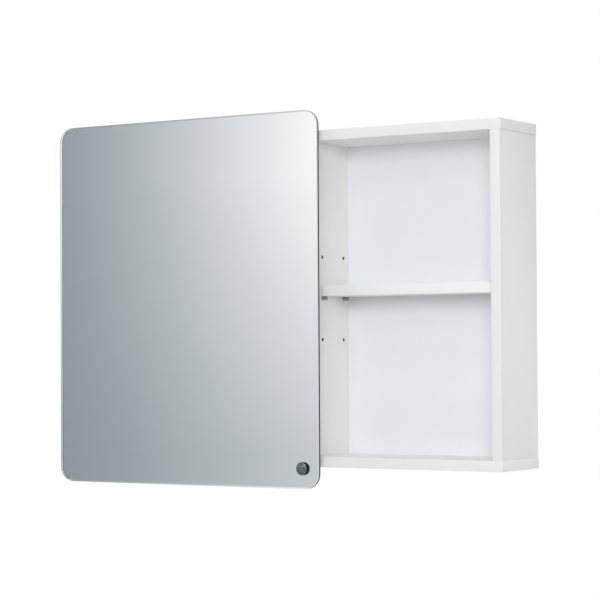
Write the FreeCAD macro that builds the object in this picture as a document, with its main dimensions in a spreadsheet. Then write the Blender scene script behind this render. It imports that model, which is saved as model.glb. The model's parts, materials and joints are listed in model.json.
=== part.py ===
# Wall cabinet with a frameless mirror that slides along its front.
# Millimetres. X runs to the right with 0 at mid-width, Y runs into the wall with 0 on the wall,
# Z runs up with 0 at the height of the two wall screws.
import FreeCAD
import Part
import os
import re
import Sketcher

doc = FreeCAD.newDocument("sliding_mirror_cabinet")
sheet = doc.addObject("Spreadsheet::Sheet", "sizes")

driving_sizes = {
    # carcass of faced board, with a thin back let into rebates
    "cabinet_width": 754.0,
    "cabinet_height": 505.0,
    "cabinet_depth": 116.5,
    "board": 16.0,
    "edge_band": 0.8,
    "right_bay_width": 305.2,
    "back_board": 4.0,
    "rebate": 8.0,
    "back_play": 0.5,
    # wall holes and their angle brackets in the upper corners
    "wall_hole_drop": 30.0,
    "wall_hole_inset": 25.0,
    "wall_hole_diameter": 6.5,
    "bracket_plate": 2.0,
    "bracket_width": 30.0,
    "bracket_tail": 15.0,
    "bracket_reach": 25.0,
    "bracket_bend": 1.5,
    "bracket_screw_pitch": 16.0,
    "plate_screw_diameter": 3.5,
    "plate_screw_head": 7.0,
    "plate_screw_head_height": 2.0,
    "screw_tip_cover": 1.5,
    # shelves on loose pins
    "shelf_setback": 33.0,
    "shelf_play": 1.0,
    "shelf_back_play": 0.5,
    "pin_row_height": 253.6,
    "pin_row_pitch": 62.7,
    "pin_front_inset": 3.2,
    "pin_rear_inset": 14.3,
    "pin_diameter": 6.0,
    "pin_reach": 9.0,
    "pin_tip": 1.0,
    "pin_shank_diameter": 5.0,
    "pin_shank_length": 7.0,
    "seat_gap": 0.1,
    # connecting screws with caps, and dowels between them
    "screw_head": 10.0,
    "screw_head_height": 3.0,
    "screw_shank": 7.0,
    "screw_thread": 5.0,
    "screw_length": 50.0,
    "screw_socket": 4.0,
    "screw_socket_depth": 2.4,
    "screw_front_inset": 50.0,
    "screw_rear_inset": 24.0,
    "cap_diameter": 12.0,
    "cap_height": 0.8,
    "dowel_diameter": 8.0,
    "dowel_length": 30.0,
    "dowel_sink": 11.0,
    "dowel_chamfer": 1.0,
    "fit_play": 0.1,
    # nails through the back
    "nail_diameter": 1.6,
    "nail_length": 20.0,
    "nail_head": 3.4,
    "nail_head_height": 0.8,
    "nail_end_inset": 60.0,
    # channels let flush into the top and the bottom
    "track_width": 12.0,
    "track_height": 8.0,
    "track_wall": 1.2,
    "track_play": 0.2,
    "track_setback": 24.0,
    "track_end_inset": 20.0,
    "track_screw_diameter": 3.0,
    "track_screw_head": 5.6,
    "track_screw_end_inset": 60.0,
    "stop_gap": 0.4,
    "stop_sink": 0.2,
    # mirror glass and its knob
    "mirror_width": 490.3,
    "mirror_over_top": 30.0,
    "mirror_over_bottom": 32.5,
    "mirror_over_side": 32.6,
    "mirror_gap": 12.0,
    "mirror_corner": 24.0,
    "glass": 4.0,
    "arris": 0.6,
    "knob_diameter": 19.5,
    "knob_height": 4.2,
    "knob_rim": 0.8,
    "knob_shoulder_diameter": 15.2,
    "knob_shoulder_height": 1.85,
    "knob_crown_diameter": 8.8,
    "knob_crown_height": 3.45,
    "knob_inset_side": 29.7,
    "knob_inset_bottom": 30.3,
    "knob_hole_diameter": 6.0,
    "knob_washer_diameter": 12.0,
    "knob_washer": 0.5,
    "knob_screw_diameter": 4.0,
    "knob_screw_head": 8.0,
    "knob_screw_head_height": 2.4,
    "knob_screw_grip": 2.6,
    # hangers with wheels above, guides with shoes below
    "hanger_inset": 90.0,
    "hanger_plate": 2.0,
    "hanger_width": 60.0,
    "hanger_bend": 1.5,
    "hanger_top_margin": 3.0,
    "hanger_leg_gap": 3.0,
    "hanger_foot_gap": 0.5,
    "pad": 1.0,
    "pad_margin": 2.0,
    "wheel_diameter": 22.0,
    "wheel_width": 6.0,
    "wheel_round": 1.0,
    "wheel_lift": 0.3,
    "hub_gap": 0.5,
    "axle_diameter": 4.0,
    "axle_head": 7.0,
    "axle_head_height": 1.2,
    "running_play": 0.1,
    "guide_width": 40.0,
    "guide_plate": 2.0,
    "guide_bend": 1.5,
    "guide_drop": 4.0,
    "guide_bottom_margin": 4.0,
    "guide_tail": 6.0,
    "shoe_length": 30.0,
    "shoe_side_play": 0.6,
    "shoe_top_play": 1.2,
    "shoe_gap": 1.0,
}

for row, (alias, size) in enumerate(driving_sizes.items(), 1):
    sheet.set(f"A{row}", alias)
    sheet.set(f"B{row}", str(size))
    sheet.setAlias(f"B{row}", alias)
doc.recompute()

# planes of the carcass
right = "(cabinet_width / 2)"
left = "(-cabinet_width / 2)"
inner_right = f"({right} - board)"
inner_left = f"({left} + board)"
partition_right = f"({inner_right} - right_bay_width)"
partition_left = f"({partition_right} - board)"
top = "(wall_hole_drop + board)"
ceiling = "(wall_hole_drop)"
bottom = f"({top} - cabinet_height)"
floor = f"({bottom} + board)"
front = "(-cabinet_depth)"
board_front = f"({front} + edge_band)"
back_front = "(-back_board)"
wall = "(0)"

# planes of the mirror at rest, at the left end of its travel
mirror_left = f"({left} - mirror_over_side)"
mirror_right = f"({mirror_left} + mirror_width)"
mirror_top = f"({top} + mirror_over_top)"
mirror_bottom = f"({bottom} - mirror_over_bottom)"
glass_back = f"({front} - mirror_gap)"
glass_front = f"({glass_back} - glass)"
travel = "(cabinet_width + 2 * mirror_over_side - mirror_width)"
left_hanger_x = f"({mirror_left} + hanger_inset)"
right_hanger_x = f"({mirror_right} - hanger_inset)"

# channels and what runs in them
track_y = f"({front} + track_setback)"
track_left = f"({left} + track_end_inset)"
track_right = f"({right} - track_end_inset)"
upper_track_floor = f"({top} - track_height + track_wall)"
lower_track_roof = f"({bottom} + track_height - track_wall)"
axle_z = f"({upper_track_floor} + wheel_lift + wheel_diameter / 2)"

pieces = []


def sized(text):
    """Point every size named in an expression at its cell of the sheet."""
    def cell(word):
        return f"sizes.{word[0]}" if word[0] in driving_sizes else word[0]
    return re.sub(r"[a-z][a-z_]*", cell, text)


def number(text):
    return float(sheet.evalExpression(sized(text)))


def bind(item, **properties):
    for name, text in properties.items():
        item.setExpression(name, sized(text))


def place(item, x, y, z, rotation=None):
    if rotation is not None:
        item.Placement = FreeCAD.Placement(FreeCAD.Vector(), rotation)
    for axis, text in zip("xyz", (x, y, z)):
        item.setExpression(f"Placement.Base.{axis}", sized(text))


def turn(axis, degrees):
    return FreeCAD.Rotation(FreeCAD.Vector(*axis), degrees)


unturned = turn((1, 0, 0), 0)
upside_down = turn((1, 0, 0), 180)
towards_wall = turn((1, 0, 0), -90)
towards_room = turn((1, 0, 0), 90)
towards_right = turn((0, 1, 0), 90)
towards_left = turn((0, 1, 0), -90)


def finished(item, label):
    """Keep an object as a sub-part under its own name."""
    item.Label = label
    pieces.append(item)
    return item


def block(name, x, y, z):
    """Straight block between pairs of planes."""
    item = doc.addObject("Part::Box", name)
    bind(item, Length=f"{x[1]} - {x[0]}", Width=f"{y[1]} - {y[0]}", Height=f"{z[1]} - {z[0]}")
    place(item, x[0], y[0], z[0])
    return item


def rod(name, diameter, length, x, y, z, rotation):
    item = doc.addObject("Part::Cylinder", name)
    bind(item, Radius=f"{diameter} / 2", Height=length)
    place(item, x, y, z, rotation)
    return item


def cut(label, base, tools):
    """Take one or more cutting shapes out of a base."""
    cutter = tools[0]
    if len(tools) > 1:
        cutter = doc.addObject("Part::MultiFuse", f"{label}_cutter")
        cutter.Shapes = tools
    item = doc.addObject("Part::Cut", f"{label}_cut")
    item.Base = base
    item.Tool = cutter
    return item


def group(label, members):
    item = doc.addObject("Part::Compound", f"{label}_group")
    item.Links = members
    return finished(item, label)


def copies(name, master, places):
    """Linked copies of one master, each at its own place."""
    links = []
    for index, (x, y, z, rotation) in enumerate(places):
        link = doc.addObject("App::Link", f"{name}_{index}")
        link.LinkedObject = master
        place(link, x, y, z, rotation)
        links.append(link)
    return links


def sketch_in(body, role):
    """Empty sketch on one of the body's own origin planes."""
    plane = next(item for item in body.Origin.OriginFeatures if item.Role == role)
    sketch = body.newObject("Sketcher::SketchObject", f"{body.Name}_sketch")
    sketch.AttachmentSupport = [(plane, "")]
    sketch.MapMode = "FlatFace"
    return sketch


def draw_outline(sketch, corners):
    """Closed outline of straight lines, each corner held by a pair of expressions."""
    points = [FreeCAD.Vector(number(across), number(up), 0) for across, up in corners]
    count = len(points)
    for index, point in enumerate(points):
        sketch.addGeometry(Part.LineSegment(point, points[(index + 1) % count]), False)
    for index in range(count):
        sketch.addConstraint(Sketcher.Constraint("Coincident", index, 2, (index + 1) % count, 1))
    for index, (across, up) in enumerate(corners):
        for kind, text in (("DistanceX", across), ("DistanceY", up)):
            constraint = sketch.addConstraint(Sketcher.Constraint(kind, -1, 1, index, 1, number(text)))
            sketch.setExpression(f"Constraints[{constraint}]", sized(text))


def turned(name, profile):
    """Round body about its own Z axis, from pairs of radius and height."""
    body = doc.addObject("PartDesign::Body", name)
    sketch = sketch_in(body, "XZ_Plane")
    draw_outline(sketch, profile)
    revolution = body.newObject("PartDesign::Revolution", f"{name}_revolution")
    revolution.Profile = sketch
    revolution.ReferenceAxis = (sketch, ["V_Axis"])
    revolution.Angle = 360
    doc.recompute()
    return body


def extruded(name, role, corners, length):
    """Straight body of one outline, centred on the sketch plane."""
    body = doc.addObject("PartDesign::Body", name)
    sketch = sketch_in(body, role)
    draw_outline(sketch, corners)
    pad = body.newObject("PartDesign::Pad", f"{name}_pad")
    pad.Profile = sketch
    pad.Midplane = True
    bind(pad, Length=length)
    doc.recompute()
    return body


def dress(body, kind, size_name, size, chosen):
    """Round or chamfer the chosen edges of a body's tip."""
    base = body.Tip
    names = [f"Edge{index}" for index, edge in enumerate(base.Shape.Edges, 1) if chosen(edge)]
    feature = body.newObject(f"PartDesign::{kind}", f"{body.Name}_{kind.lower()}")
    feature.Base = (base, names)
    bind(feature, **{size_name: size})
    doc.recompute()
    return feature


def runs_along(edge, axis):
    """True for a straight edge along one axis of its body."""
    if len(edge.Vertexes) != 2:
        return False
    ends = edge.Vertexes[1].Point - edge.Vertexes[0].Point
    return abs(abs(ends.dot(axis)) - edge.Length) < 1e-6


def corner_edges(axis, spots):
    """Chooser of the edges along an axis whose other two coordinates are at the given spots."""
    def chosen(edge):
        if not runs_along(edge, axis):
            return False
        point = edge.Vertexes[0].Point
        return any((point - point.dot(axis) * axis - spot).Length < 1e-4 for spot in spots)
    return chosen


def drill_through(body, diameter, role, across, up):
    """Round hole right through a body, square to one of its origin planes."""
    before = body.Shape.Volume
    sketch = sketch_in(body, role)
    circle = sketch.addGeometry(Part.Circle(FreeCAD.Vector(number(across), number(up), 0),
                                            FreeCAD.Vector(0, 0, 1), number(diameter) / 2), False)
    for kind, text in (("DistanceX", across), ("DistanceY", up)):
        constraint = sketch.addConstraint(Sketcher.Constraint(kind, -1, 1, circle, 3, number(text)))
        sketch.setExpression(f"Constraints[{constraint}]", sized(text))
    constraint = sketch.addConstraint(Sketcher.Constraint("Diameter", circle, number(diameter)))
    sketch.setExpression(f"Constraints[{constraint}]", sized(diameter))
    pocket = body.newObject("PartDesign::Pocket", f"{body.Name}_hole")
    pocket.Profile = sketch
    pocket.Type = "ThroughAll"
    pocket.Midplane = True
    doc.recompute()
    if body.Shape.Volume >= before:
        raise RuntimeError(f"the hole in {body.Name} cuts nothing")


# Connecting screws: a stepped drilling and a screw of the same steps, with a push-in cap.
# Each stands with its head's top at height 0 and points down.
def stepped_screw(name, play, head_top, end):
    return turned(name, [
        ("0", head_top),
        (f"screw_head / 2 + {play}", head_top),
        (f"screw_head / 2 + {play}", f"-screw_head_height - {play}"),
        (f"screw_shank / 2 + {play}", f"-screw_head_height - {play}"),
        (f"screw_shank / 2 + {play}", f"-board - {play}"),
        (f"screw_thread / 2 + {play}", f"-board - {play}"),
        (f"screw_thread / 2 + {play}", end),
        ("0", end)])


screw_drill = stepped_screw("screw_drill", "fit_play", "screw_head_height", "-screw_length - 10 * fit_play")
screw_blank = stepped_screw("screw_blank", "0", "0", "-screw_length")
screw_socket_hole = rod("screw_socket_hole", "screw_socket", "screw_socket_depth",
                        "0", "0", "-screw_socket_depth", unturned)
screw_master = cut("screw_master", screw_blank, [screw_socket_hole])
cap_master = turned("cap_master", [
    ("0", "cap_height"),
    ("cap_diameter / 2", "cap_height"),
    ("cap_diameter / 2", "0"),
    ("screw_socket / 2 - fit_play", "0"),
    ("screw_socket / 2 - fit_play", "-screw_socket_depth + fit_play"),
    ("0", "-screw_socket_depth + fit_play")])


def dowel_shape(name, play):
    """Chamfered peg that sinks above height 0 and stands below it."""
    return turned(name, [
        ("0", f"dowel_sink + {play}"),
        ("dowel_diameter / 2 - dowel_chamfer", f"dowel_sink + {play}"),
        (f"dowel_diameter / 2 + {play}", f"dowel_sink - dowel_chamfer + {play}"),
        (f"dowel_diameter / 2 + {play}", f"dowel_sink - dowel_length + dowel_chamfer - {play}"),
        ("dowel_diameter / 2 - dowel_chamfer", f"dowel_sink - dowel_length - {play}"),
        ("0", f"dowel_sink - dowel_length - {play}")])


dowel_master = dowel_shape("dowel_master", "0")
dowel_drill = dowel_shape("dowel_drill", "fit_play")

upright_middles = {
    "left": f"({left} + board / 2)",
    "partition": f"({partition_right} - board / 2)",
    "right": f"({right} - board / 2)",
}
screw_rows = [f"({front} + screw_front_inset)", "(-screw_rear_inset)"]
dowel_row = f"(({front} + screw_front_inset - screw_rear_inset) / 2)"
deck_faces = {"top": (top, ceiling, unturned), "bottom": (bottom, floor, upside_down)}
screw_places = []
dowel_places = []
joint_drills = {}
for deck, (outer_face, inner_face, rotation) in deck_faces.items():
    for name, middle in upright_middles.items():
        screws = [(middle, y, outer_face, rotation) for y in screw_rows]
        dowels = [(middle, dowel_row, inner_face, rotation)]
        joint_drills[deck, name] = (copies(f"{deck}_{name}_screw_drill", screw_drill, screws)
                                    + copies(f"{deck}_{name}_dowel_drill", dowel_drill, dowels))
        screw_places += screws
        dowel_places += dowels
group("carcass_screws", copies("carcass_screw", screw_master, screw_places))
group("screw_caps", copies("screw_cap", cap_master, screw_places))
group("carcass_dowels", copies("carcass_dowel", dowel_master, dowel_places))


# Shelf pins: a shank in the board and a thicker body that carries the shelf, standing along +Z.
pin_master = turned("pin_master", [
    ("0", "-pin_shank_length"),
    ("pin_shank_diameter / 2", "-pin_shank_length"),
    ("pin_shank_diameter / 2", "0"),
    ("pin_diameter / 2", "0"),
    ("pin_diameter / 2", "pin_reach - pin_tip"),
    ("pin_diameter / 2 - pin_tip", "pin_reach"),
    ("0", "pin_reach")])
pin_drill = turned("pin_drill", [
    ("0", "-pin_shank_length - fit_play"),
    ("pin_shank_diameter / 2 + fit_play", "-pin_shank_length - fit_play"),
    ("pin_shank_diameter / 2 + fit_play", "pin_tip"),
    ("0", "pin_tip")])

shelf_front = f"({front} + shelf_setback)"
shelf_board_front = f"({shelf_front} + edge_band)"
shelf_back = f"({back_front} - shelf_back_play)"
pin_axis_z = f"({bottom} + pin_row_height)"
shelf_underside = f"({pin_axis_z} + pin_diameter / 2 + seat_gap)"
shelf_z = (shelf_underside, f"({shelf_underside} + board)")
pin_columns = [f"({shelf_front} + pin_front_inset)", f"({shelf_back} - pin_rear_inset)"]
pin_rows = [f"({pin_axis_z} - pin_row_pitch)", pin_axis_z, f"({pin_axis_z} + pin_row_pitch)"]
bay_walls = {
    "left": ((inner_left, towards_right), (partition_left, towards_left)),
    "right": ((partition_right, towards_right), (inner_right, towards_left)),
}
pin_drills = {}
for bay, walls in bay_walls.items():
    group(f"{bay}_shelf_pins", copies(f"{bay}_shelf_pin", pin_master, [
        (x, y, pin_axis_z, rotation) for x, rotation in walls for y in pin_columns]))
    for x, rotation in walls:
        pin_drills[x] = copies(f"{bay}_pin_drill_{len(pin_drills)}", pin_drill, [
            (x, y, z, rotation) for y in pin_columns for z in pin_rows])

shelf_bands = []
for bay, ((x_low, _), (x_high, _)) in bay_walls.items():
    x_span = (f"({x_low} + shelf_play)", f"({x_high} - shelf_play)")
    shelf = block(f"{bay}_shelf_board", x_span, (shelf_board_front, shelf_back), shelf_z)
    finished(shelf, f"{bay}_shelf")
    shelf_bands.append(block(f"{bay}_shelf_band", x_span, (shelf_front, shelf_board_front), shelf_z))
group("shelf_edge_bands", shelf_bands)


# Nails through the back into the boards behind their rebates, heads flush with the wall plane.
def nail_shape(name, play, head_top):
    return turned(name, [
        ("0", head_top),
        (f"nail_head / 2 + {play}", head_top),
        (f"nail_head / 2 + {play}", f"-nail_head_height - {play}"),
        (f"nail_diameter / 2 + {play}", f"-nail_head_height - {play}"),
        (f"nail_diameter / 2 + {play}", f"-nail_length - {play}"),
        ("0", f"-nail_length - {play}")])


nail_master = nail_shape("nail_master", "0", "0")
nail_drill = nail_shape("nail_drill", "fit_play", "nail_head_height")
nail_side_rows = [f"({floor} + nail_end_inset)",
                  f"({pin_axis_z} + pin_row_pitch / 2)",
                  f"({ceiling} - nail_end_inset)"]
nail_deck_rows = [f"({inner_left} + nail_end_inset)",
                  f"(({inner_left} + {partition_left}) / 2)",
                  f"({partition_right} + nail_end_inset)",
                  f"({inner_right} - nail_end_inset)"]
nail_places = {
    "top": [(x, wall, f"({ceiling} + rebate / 2)", towards_wall) for x in nail_deck_rows],
    "bottom": [(x, wall, f"({floor} - rebate / 2)", towards_wall) for x in nail_deck_rows],
    "left": [(f"({inner_left} - rebate / 2)", wall, z, towards_wall) for z in nail_side_rows],
    "right": [(f"({inner_right} + rebate / 2)", wall, z, towards_wall) for z in nail_side_rows],
    "partition": [(upright_middles["partition"], wall, z, towards_wall) for z in nail_side_rows],
}
nail_drills = {}
for name, places in nail_places.items():
    nail_drills[name] = copies(f"{name}_nail_drill", nail_drill, places)
all_nails = [spot for places in nail_places.values() for spot in places]
group("back_panel_nails", copies("back_panel_nail", nail_master, all_nails))


# Channels: one folded-up aluminium section, let flush into the top and, upside down, into the bottom.
track_length = f"({track_right} - {track_left})"
track_corners = [
    ("-track_width / 2", "0"),
    ("track_width / 2", "0"),
    ("track_width / 2", "track_height"),
    ("track_width / 2 - track_wall", "track_height"),
    ("track_width / 2 - track_wall", "track_wall"),
    ("-track_width / 2 + track_wall", "track_wall"),
    ("-track_width / 2 + track_wall", "track_height"),
    ("-track_width / 2", "track_height")]
track_screw_length = "(board - track_height + track_wall - screw_tip_cover)"


def track_screw_shape(name, play, rise):
    """Countersunk screw whose head lies flush in the channel's web, pointing down from height 0."""
    return turned(name, [
        ("0", rise),
        (f"track_screw_head / 2 + {play} + {rise}", rise),
        (f"track_screw_diameter / 2 + {play}", "(track_screw_diameter - track_screw_head) / 2"),
        (f"track_screw_diameter / 2 + {play}", f"-{track_screw_length} - {play}"),
        ("0", f"-{track_screw_length} - {play}")])


track_screw_master = track_screw_shape("track_screw_master", "0", "0")
track_screw_drill = track_screw_shape("track_screw_drill", "fit_play", "fit_play")
track_screw_count = 4
track_screw_pitch = f"(({track_length} - 2 * track_screw_end_inset) / {track_screw_count - 1})"
track_screw_columns = [f"({track_left} + track_screw_end_inset + {index} * {track_screw_pitch})"
                       for index in range(track_screw_count)]
track_drills = {}
groove_y = (f"({track_y} - track_width / 2 - track_play)", f"({track_y} + track_width / 2 + track_play)")
groove_x = (f"({track_left} - track_play)", f"({track_right} + track_play)")
tracks = {
    "upper_track": (f"({top} - track_height)", upper_track_floor, unturned),
    "lower_track": (f"({bottom} + track_height)", lower_track_roof, upside_down),
}
for name, (seat, web, rotation) in tracks.items():
    channel = extruded(f"{name}_channel", "YZ_Plane", track_corners, track_length)
    place(channel, f"({track_left} + {track_right}) / 2", track_y, seat, rotation)
    screws = [(x, track_y, web, rotation) for x in track_screw_columns]
    track_drills[name] = copies(f"{name}_drill", track_screw_drill, screws)
    finished(cut(name, channel, track_drills[name]), name)
    group(f"{name}_screws", copies(f"{name}_screw", track_screw_master, screws))


# Angle brackets in the upper corners: one leg on the back with the wall hole, one leg under the top.
bracket_corners = [
    ("0", "0"),
    ("0", "-wall_hole_drop - bracket_tail"),
    ("-bracket_plate", "-wall_hole_drop - bracket_tail"),
    ("-bracket_plate", "-bracket_plate"),
    ("-bracket_reach", "-bracket_plate"),
    ("-bracket_reach", "0")]
plate_screw_length = "(bracket_plate + board - screw_tip_cover)"


def plate_screw_shape(name, play, head_height):
    """Pan-head screw that points down from the plate's face at height 0."""
    return turned(name, [
        ("0", head_height),
        (f"plate_screw_head / 2 + {play}", head_height),
        (f"plate_screw_head / 2 + {play}", "0"),
        (f"plate_screw_diameter / 2 + {play}", "0"),
        (f"plate_screw_diameter / 2 + {play}", f"-{plate_screw_length} - {play}"),
        ("0", f"-{plate_screw_length} - {play}")])


plate_screw_master = plate_screw_shape("plate_screw_master", "0", "plate_screw_head_height")
plate_screw_drill = plate_screw_shape("plate_screw_drill", "fit_play", "plate_screw_head_height")
wall_hole_columns = {
    "left": f"({inner_left} + wall_hole_inset)",
    "right": f"({inner_right} - wall_hole_inset)",
}
bracket_screw_row = f"({back_front} - (bracket_reach + bracket_plate) / 2)"
bracket_underside = f"({ceiling} - bracket_plate)"
wall_drills = {}
bracket_drills = []
bracket_screw_places = []
x_axis = FreeCAD.Vector(1, 0, 0)
y_axis = FreeCAD.Vector(0, 1, 0)
for side, x in wall_hole_columns.items():
    wall_drills[side] = rod(f"{side}_wall_drill", "wall_hole_diameter", "4 * (back_board + bracket_plate)",
                            x, "-2 * (back_board + bracket_plate)", "0", towards_wall)
    screws = [(f"({x} + {sign} * bracket_screw_pitch / 2)", bracket_screw_row, bracket_underside, upside_down)
              for sign in (-1, 1)]
    drills = copies(f"{side}_bracket_drill", plate_screw_drill, screws)
    angle = extruded(f"{side}_bracket_angle", "YZ_Plane", bracket_corners, "bracket_width")
    inner_bend = FreeCAD.Vector(0, -number("bracket_plate"), -number("bracket_plate"))
    dress(angle, "Fillet", "Radius", "bracket_bend", corner_edges(x_axis, [inner_bend]))
    place(angle, x, back_front, ceiling, unturned)
    finished(cut(f"{side}_hanging_bracket", angle, [wall_drills[side]] + drills), f"{side}_hanging_bracket")
    bracket_drills += drills
    bracket_screw_places += screws
group("hanging_bracket_screws", copies("hanging_bracket_screw", plate_screw_master, bracket_screw_places))


# Boards of the carcass: top and bottom run over the ends of the uprights.
full_width = (left, right)
board_y = (board_front, wall)
upright_z = (floor, ceiling)
rebate_x = (f"({inner_left} - rebate)", f"({inner_right} + rebate)")
rebate_y = (back_front, wall)
deck_boards = {"top": (ceiling, top), "bottom": (bottom, floor)}
deck_rebates = {"top": (ceiling, f"({ceiling} + rebate)"), "bottom": (f"({floor} - rebate)", floor)}
deck_grooves = {"top": (f"({top} - track_height)", top), "bottom": (bottom, f"({bottom} + track_height)")}
deck_tracks = {"top": "upper_track", "bottom": "lower_track"}
for deck, board_z in deck_boards.items():
    tools = [block(f"{deck}_rebate", rebate_x, rebate_y, deck_rebates[deck]),
             block(f"{deck}_groove", groove_x, groove_y, deck_grooves[deck])]
    for name in upright_middles:
        tools += joint_drills[deck, name]
    tools += nail_drills[deck] + track_drills[deck_tracks[deck]]
    if deck == "top":
        tools += bracket_drills
    board = block(f"{deck}_board", full_width, board_y, board_z)
    finished(cut(f"{deck}_panel", board, tools), f"{deck}_panel")

sides = {
    "left": ((left, inner_left), (f"({inner_left} - rebate)", inner_left), inner_left),
    "right": ((inner_right, right), (inner_right, f"({inner_right} + rebate)"), inner_right),
}
for side, (board_x, side_rebate_x, inner_face) in sides.items():
    tools = [block(f"{side}_rebate", side_rebate_x, rebate_y, upright_z)]
    tools += joint_drills["top", side] + joint_drills["bottom", side]
    tools += pin_drills[inner_face] + nail_drills[side]
    board = block(f"{side}_board", board_x, board_y, upright_z)
    finished(cut(f"{side}_side_panel", board, tools), f"{side}_side_panel")

partition_x = (partition_left, partition_right)
partition_tools = (joint_drills["top", "partition"] + joint_drills["bottom", "partition"]
                   + pin_drills[partition_left] + pin_drills[partition_right] + nail_drills["partition"])
partition_board = block("partition_board", partition_x, (board_front, back_front), upright_z)
finished(cut("centre_partition", partition_board, partition_tools), "centre_partition")

back_x = (f"({rebate_x[0]} + back_play)", f"({rebate_x[1]} - back_play)")
back_z = (f"({floor} - rebate + back_play)", f"({ceiling} + rebate - back_play)")
back_tools = list(wall_drills.values()) + [drill for drills in nail_drills.values() for drill in drills]
finished(cut("back_panel", block("back_sheet", back_x, rebate_y, back_z), back_tools), "back_panel")

band_y = (front, board_front)
front_bands = [block("top_band", full_width, band_y, (ceiling, top)),
               block("bottom_band", full_width, band_y, (bottom, floor)),
               block("left_band", (left, inner_left), band_y, upright_z),
               block("partition_band", partition_x, band_y, upright_z),
               block("right_band", (inner_right, right), band_y, upright_z)]
group("front_edge_bands", front_bands)


# Stops inside both ends of the upper channel. Their upper edges catch the wheels at the ends of the travel.
stop_y = (f"({track_y} - track_width / 2 + track_wall + track_play)",
          f"({track_y} + track_width / 2 - track_wall - track_play)")
stop_top = f"({top} - stop_sink)"
stop_z = (upper_track_floor, stop_top)
wheel_half_chord = f"sqrt((wheel_diameter / 2) ^ 2 - ({axle_z} - {stop_top}) ^ 2)"
left_stop_face = f"({left_hanger_x} - {wheel_half_chord} - stop_gap)"
right_stop_face = f"({right_hanger_x} + {travel} + {wheel_half_chord} + stop_gap)"
finished(block("left_stop_block", (track_left, left_stop_face), stop_y, stop_z), "left_track_stop")
finished(block("right_stop_block", (right_stop_face, track_right), stop_y, stop_z), "right_track_stop")


# Mirror glass: rounded corners, ground arrises on both faces and one hole for the knob.
glass_height = f"({mirror_top} - {mirror_bottom})"
mirror = extruded("mirror_sheet", "XZ_Plane", [
    ("0", "0"),
    ("mirror_width", "0"),
    ("mirror_width", glass_height),
    ("0", glass_height)], "glass")
dress(mirror, "Fillet", "Radius", "mirror_corner", lambda edge: runs_along(edge, y_axis))
dress(mirror, "Chamfer", "Size", "arris",
      lambda edge: abs(abs(edge.CenterOfMass.y) - number("glass") / 2) < 1e-4)
drill_through(mirror, "knob_hole_diameter", "XZ_Plane", "mirror_width - knob_inset_side", "knob_inset_bottom")
place(mirror, mirror_left, f"({glass_back} - glass / 2)", mirror_bottom, unturned)
finished(mirror, "mirror_glass")


# Knob: a low turned dome on a soft washer, held by a screw with a second washer behind the glass.
knob_x = f"({mirror_right} - knob_inset_side)"
knob_z = f"({mirror_bottom} + knob_inset_bottom)"
knob = turned("knob_disc", [
    ("knob_screw_diameter / 2 + fit_play", "0"),
    ("knob_diameter / 2", "0"),
    ("knob_diameter / 2", "knob_rim"),
    ("knob_shoulder_diameter / 2", "knob_shoulder_height"),
    ("knob_crown_diameter / 2", "knob_crown_height"),
    ("0", "knob_height"),
    ("0", "knob_screw_grip + fit_play"),
    ("knob_screw_diameter / 2 + fit_play", "knob_screw_grip + fit_play")])
place(knob, knob_x, f"({glass_front} - knob_washer)", knob_z, towards_room)
finished(knob, "knob")
knob_screw_length = "(glass + 2 * knob_washer + knob_screw_grip)"
knob_screw = turned("knob_bolt", [
    ("0", "-knob_screw_head_height"),
    ("knob_screw_head / 2", "-knob_screw_head_height"),
    ("knob_screw_head / 2", "0"),
    ("knob_screw_diameter / 2", "0"),
    ("knob_screw_diameter / 2", knob_screw_length),
    ("0", knob_screw_length)])
place(knob_screw, knob_x, f"({glass_back} + knob_washer)", knob_z, towards_room)
finished(knob_screw, "knob_screw")
washer_master = turned("washer_master", [
    ("knob_screw_diameter / 2 + fit_play", "0"),
    ("knob_washer_diameter / 2", "0"),
    ("knob_washer_diameter / 2", "knob_washer"),
    ("knob_screw_diameter / 2 + fit_play", "knob_washer")])
group("knob_washers", copies("knob_washer", washer_master, [
    (knob_x, glass_front, knob_z, towards_room),
    (knob_x, f"({glass_back} + knob_washer)", knob_z, towards_room)]))


# Hangers: a bent strap glued behind the glass's upper edge, reaching over the top to a wheel in the channel.
pad_back = f"({glass_back} + pad)"
hanger_top = f"({mirror_top} - hanger_top_margin)"
leg_back = f"({track_y} - wheel_width / 2 - hub_gap)"
hanger_reach = f"({leg_back} - {pad_back})"
hanger_front_drop = f"({hanger_top} - {top} - hanger_leg_gap)"
hanger_rear_drop = f"({hanger_top} - {top} - hanger_foot_gap)"
hanger_corners = [
    ("0", "0"),
    ("0", f"-{hanger_front_drop}"),
    ("hanger_plate", f"-{hanger_front_drop}"),
    ("hanger_plate", "-hanger_plate"),
    (f"{hanger_reach} - hanger_plate", "-hanger_plate"),
    (f"{hanger_reach} - hanger_plate", f"-{hanger_rear_drop}"),
    (hanger_reach, f"-{hanger_rear_drop}"),
    (hanger_reach, "0")]
axle_length = "(hanger_plate + wheel_width + 2 * hub_gap)"
hanger_columns = {"left": left_hanger_x, "right": right_hanger_x}
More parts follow.
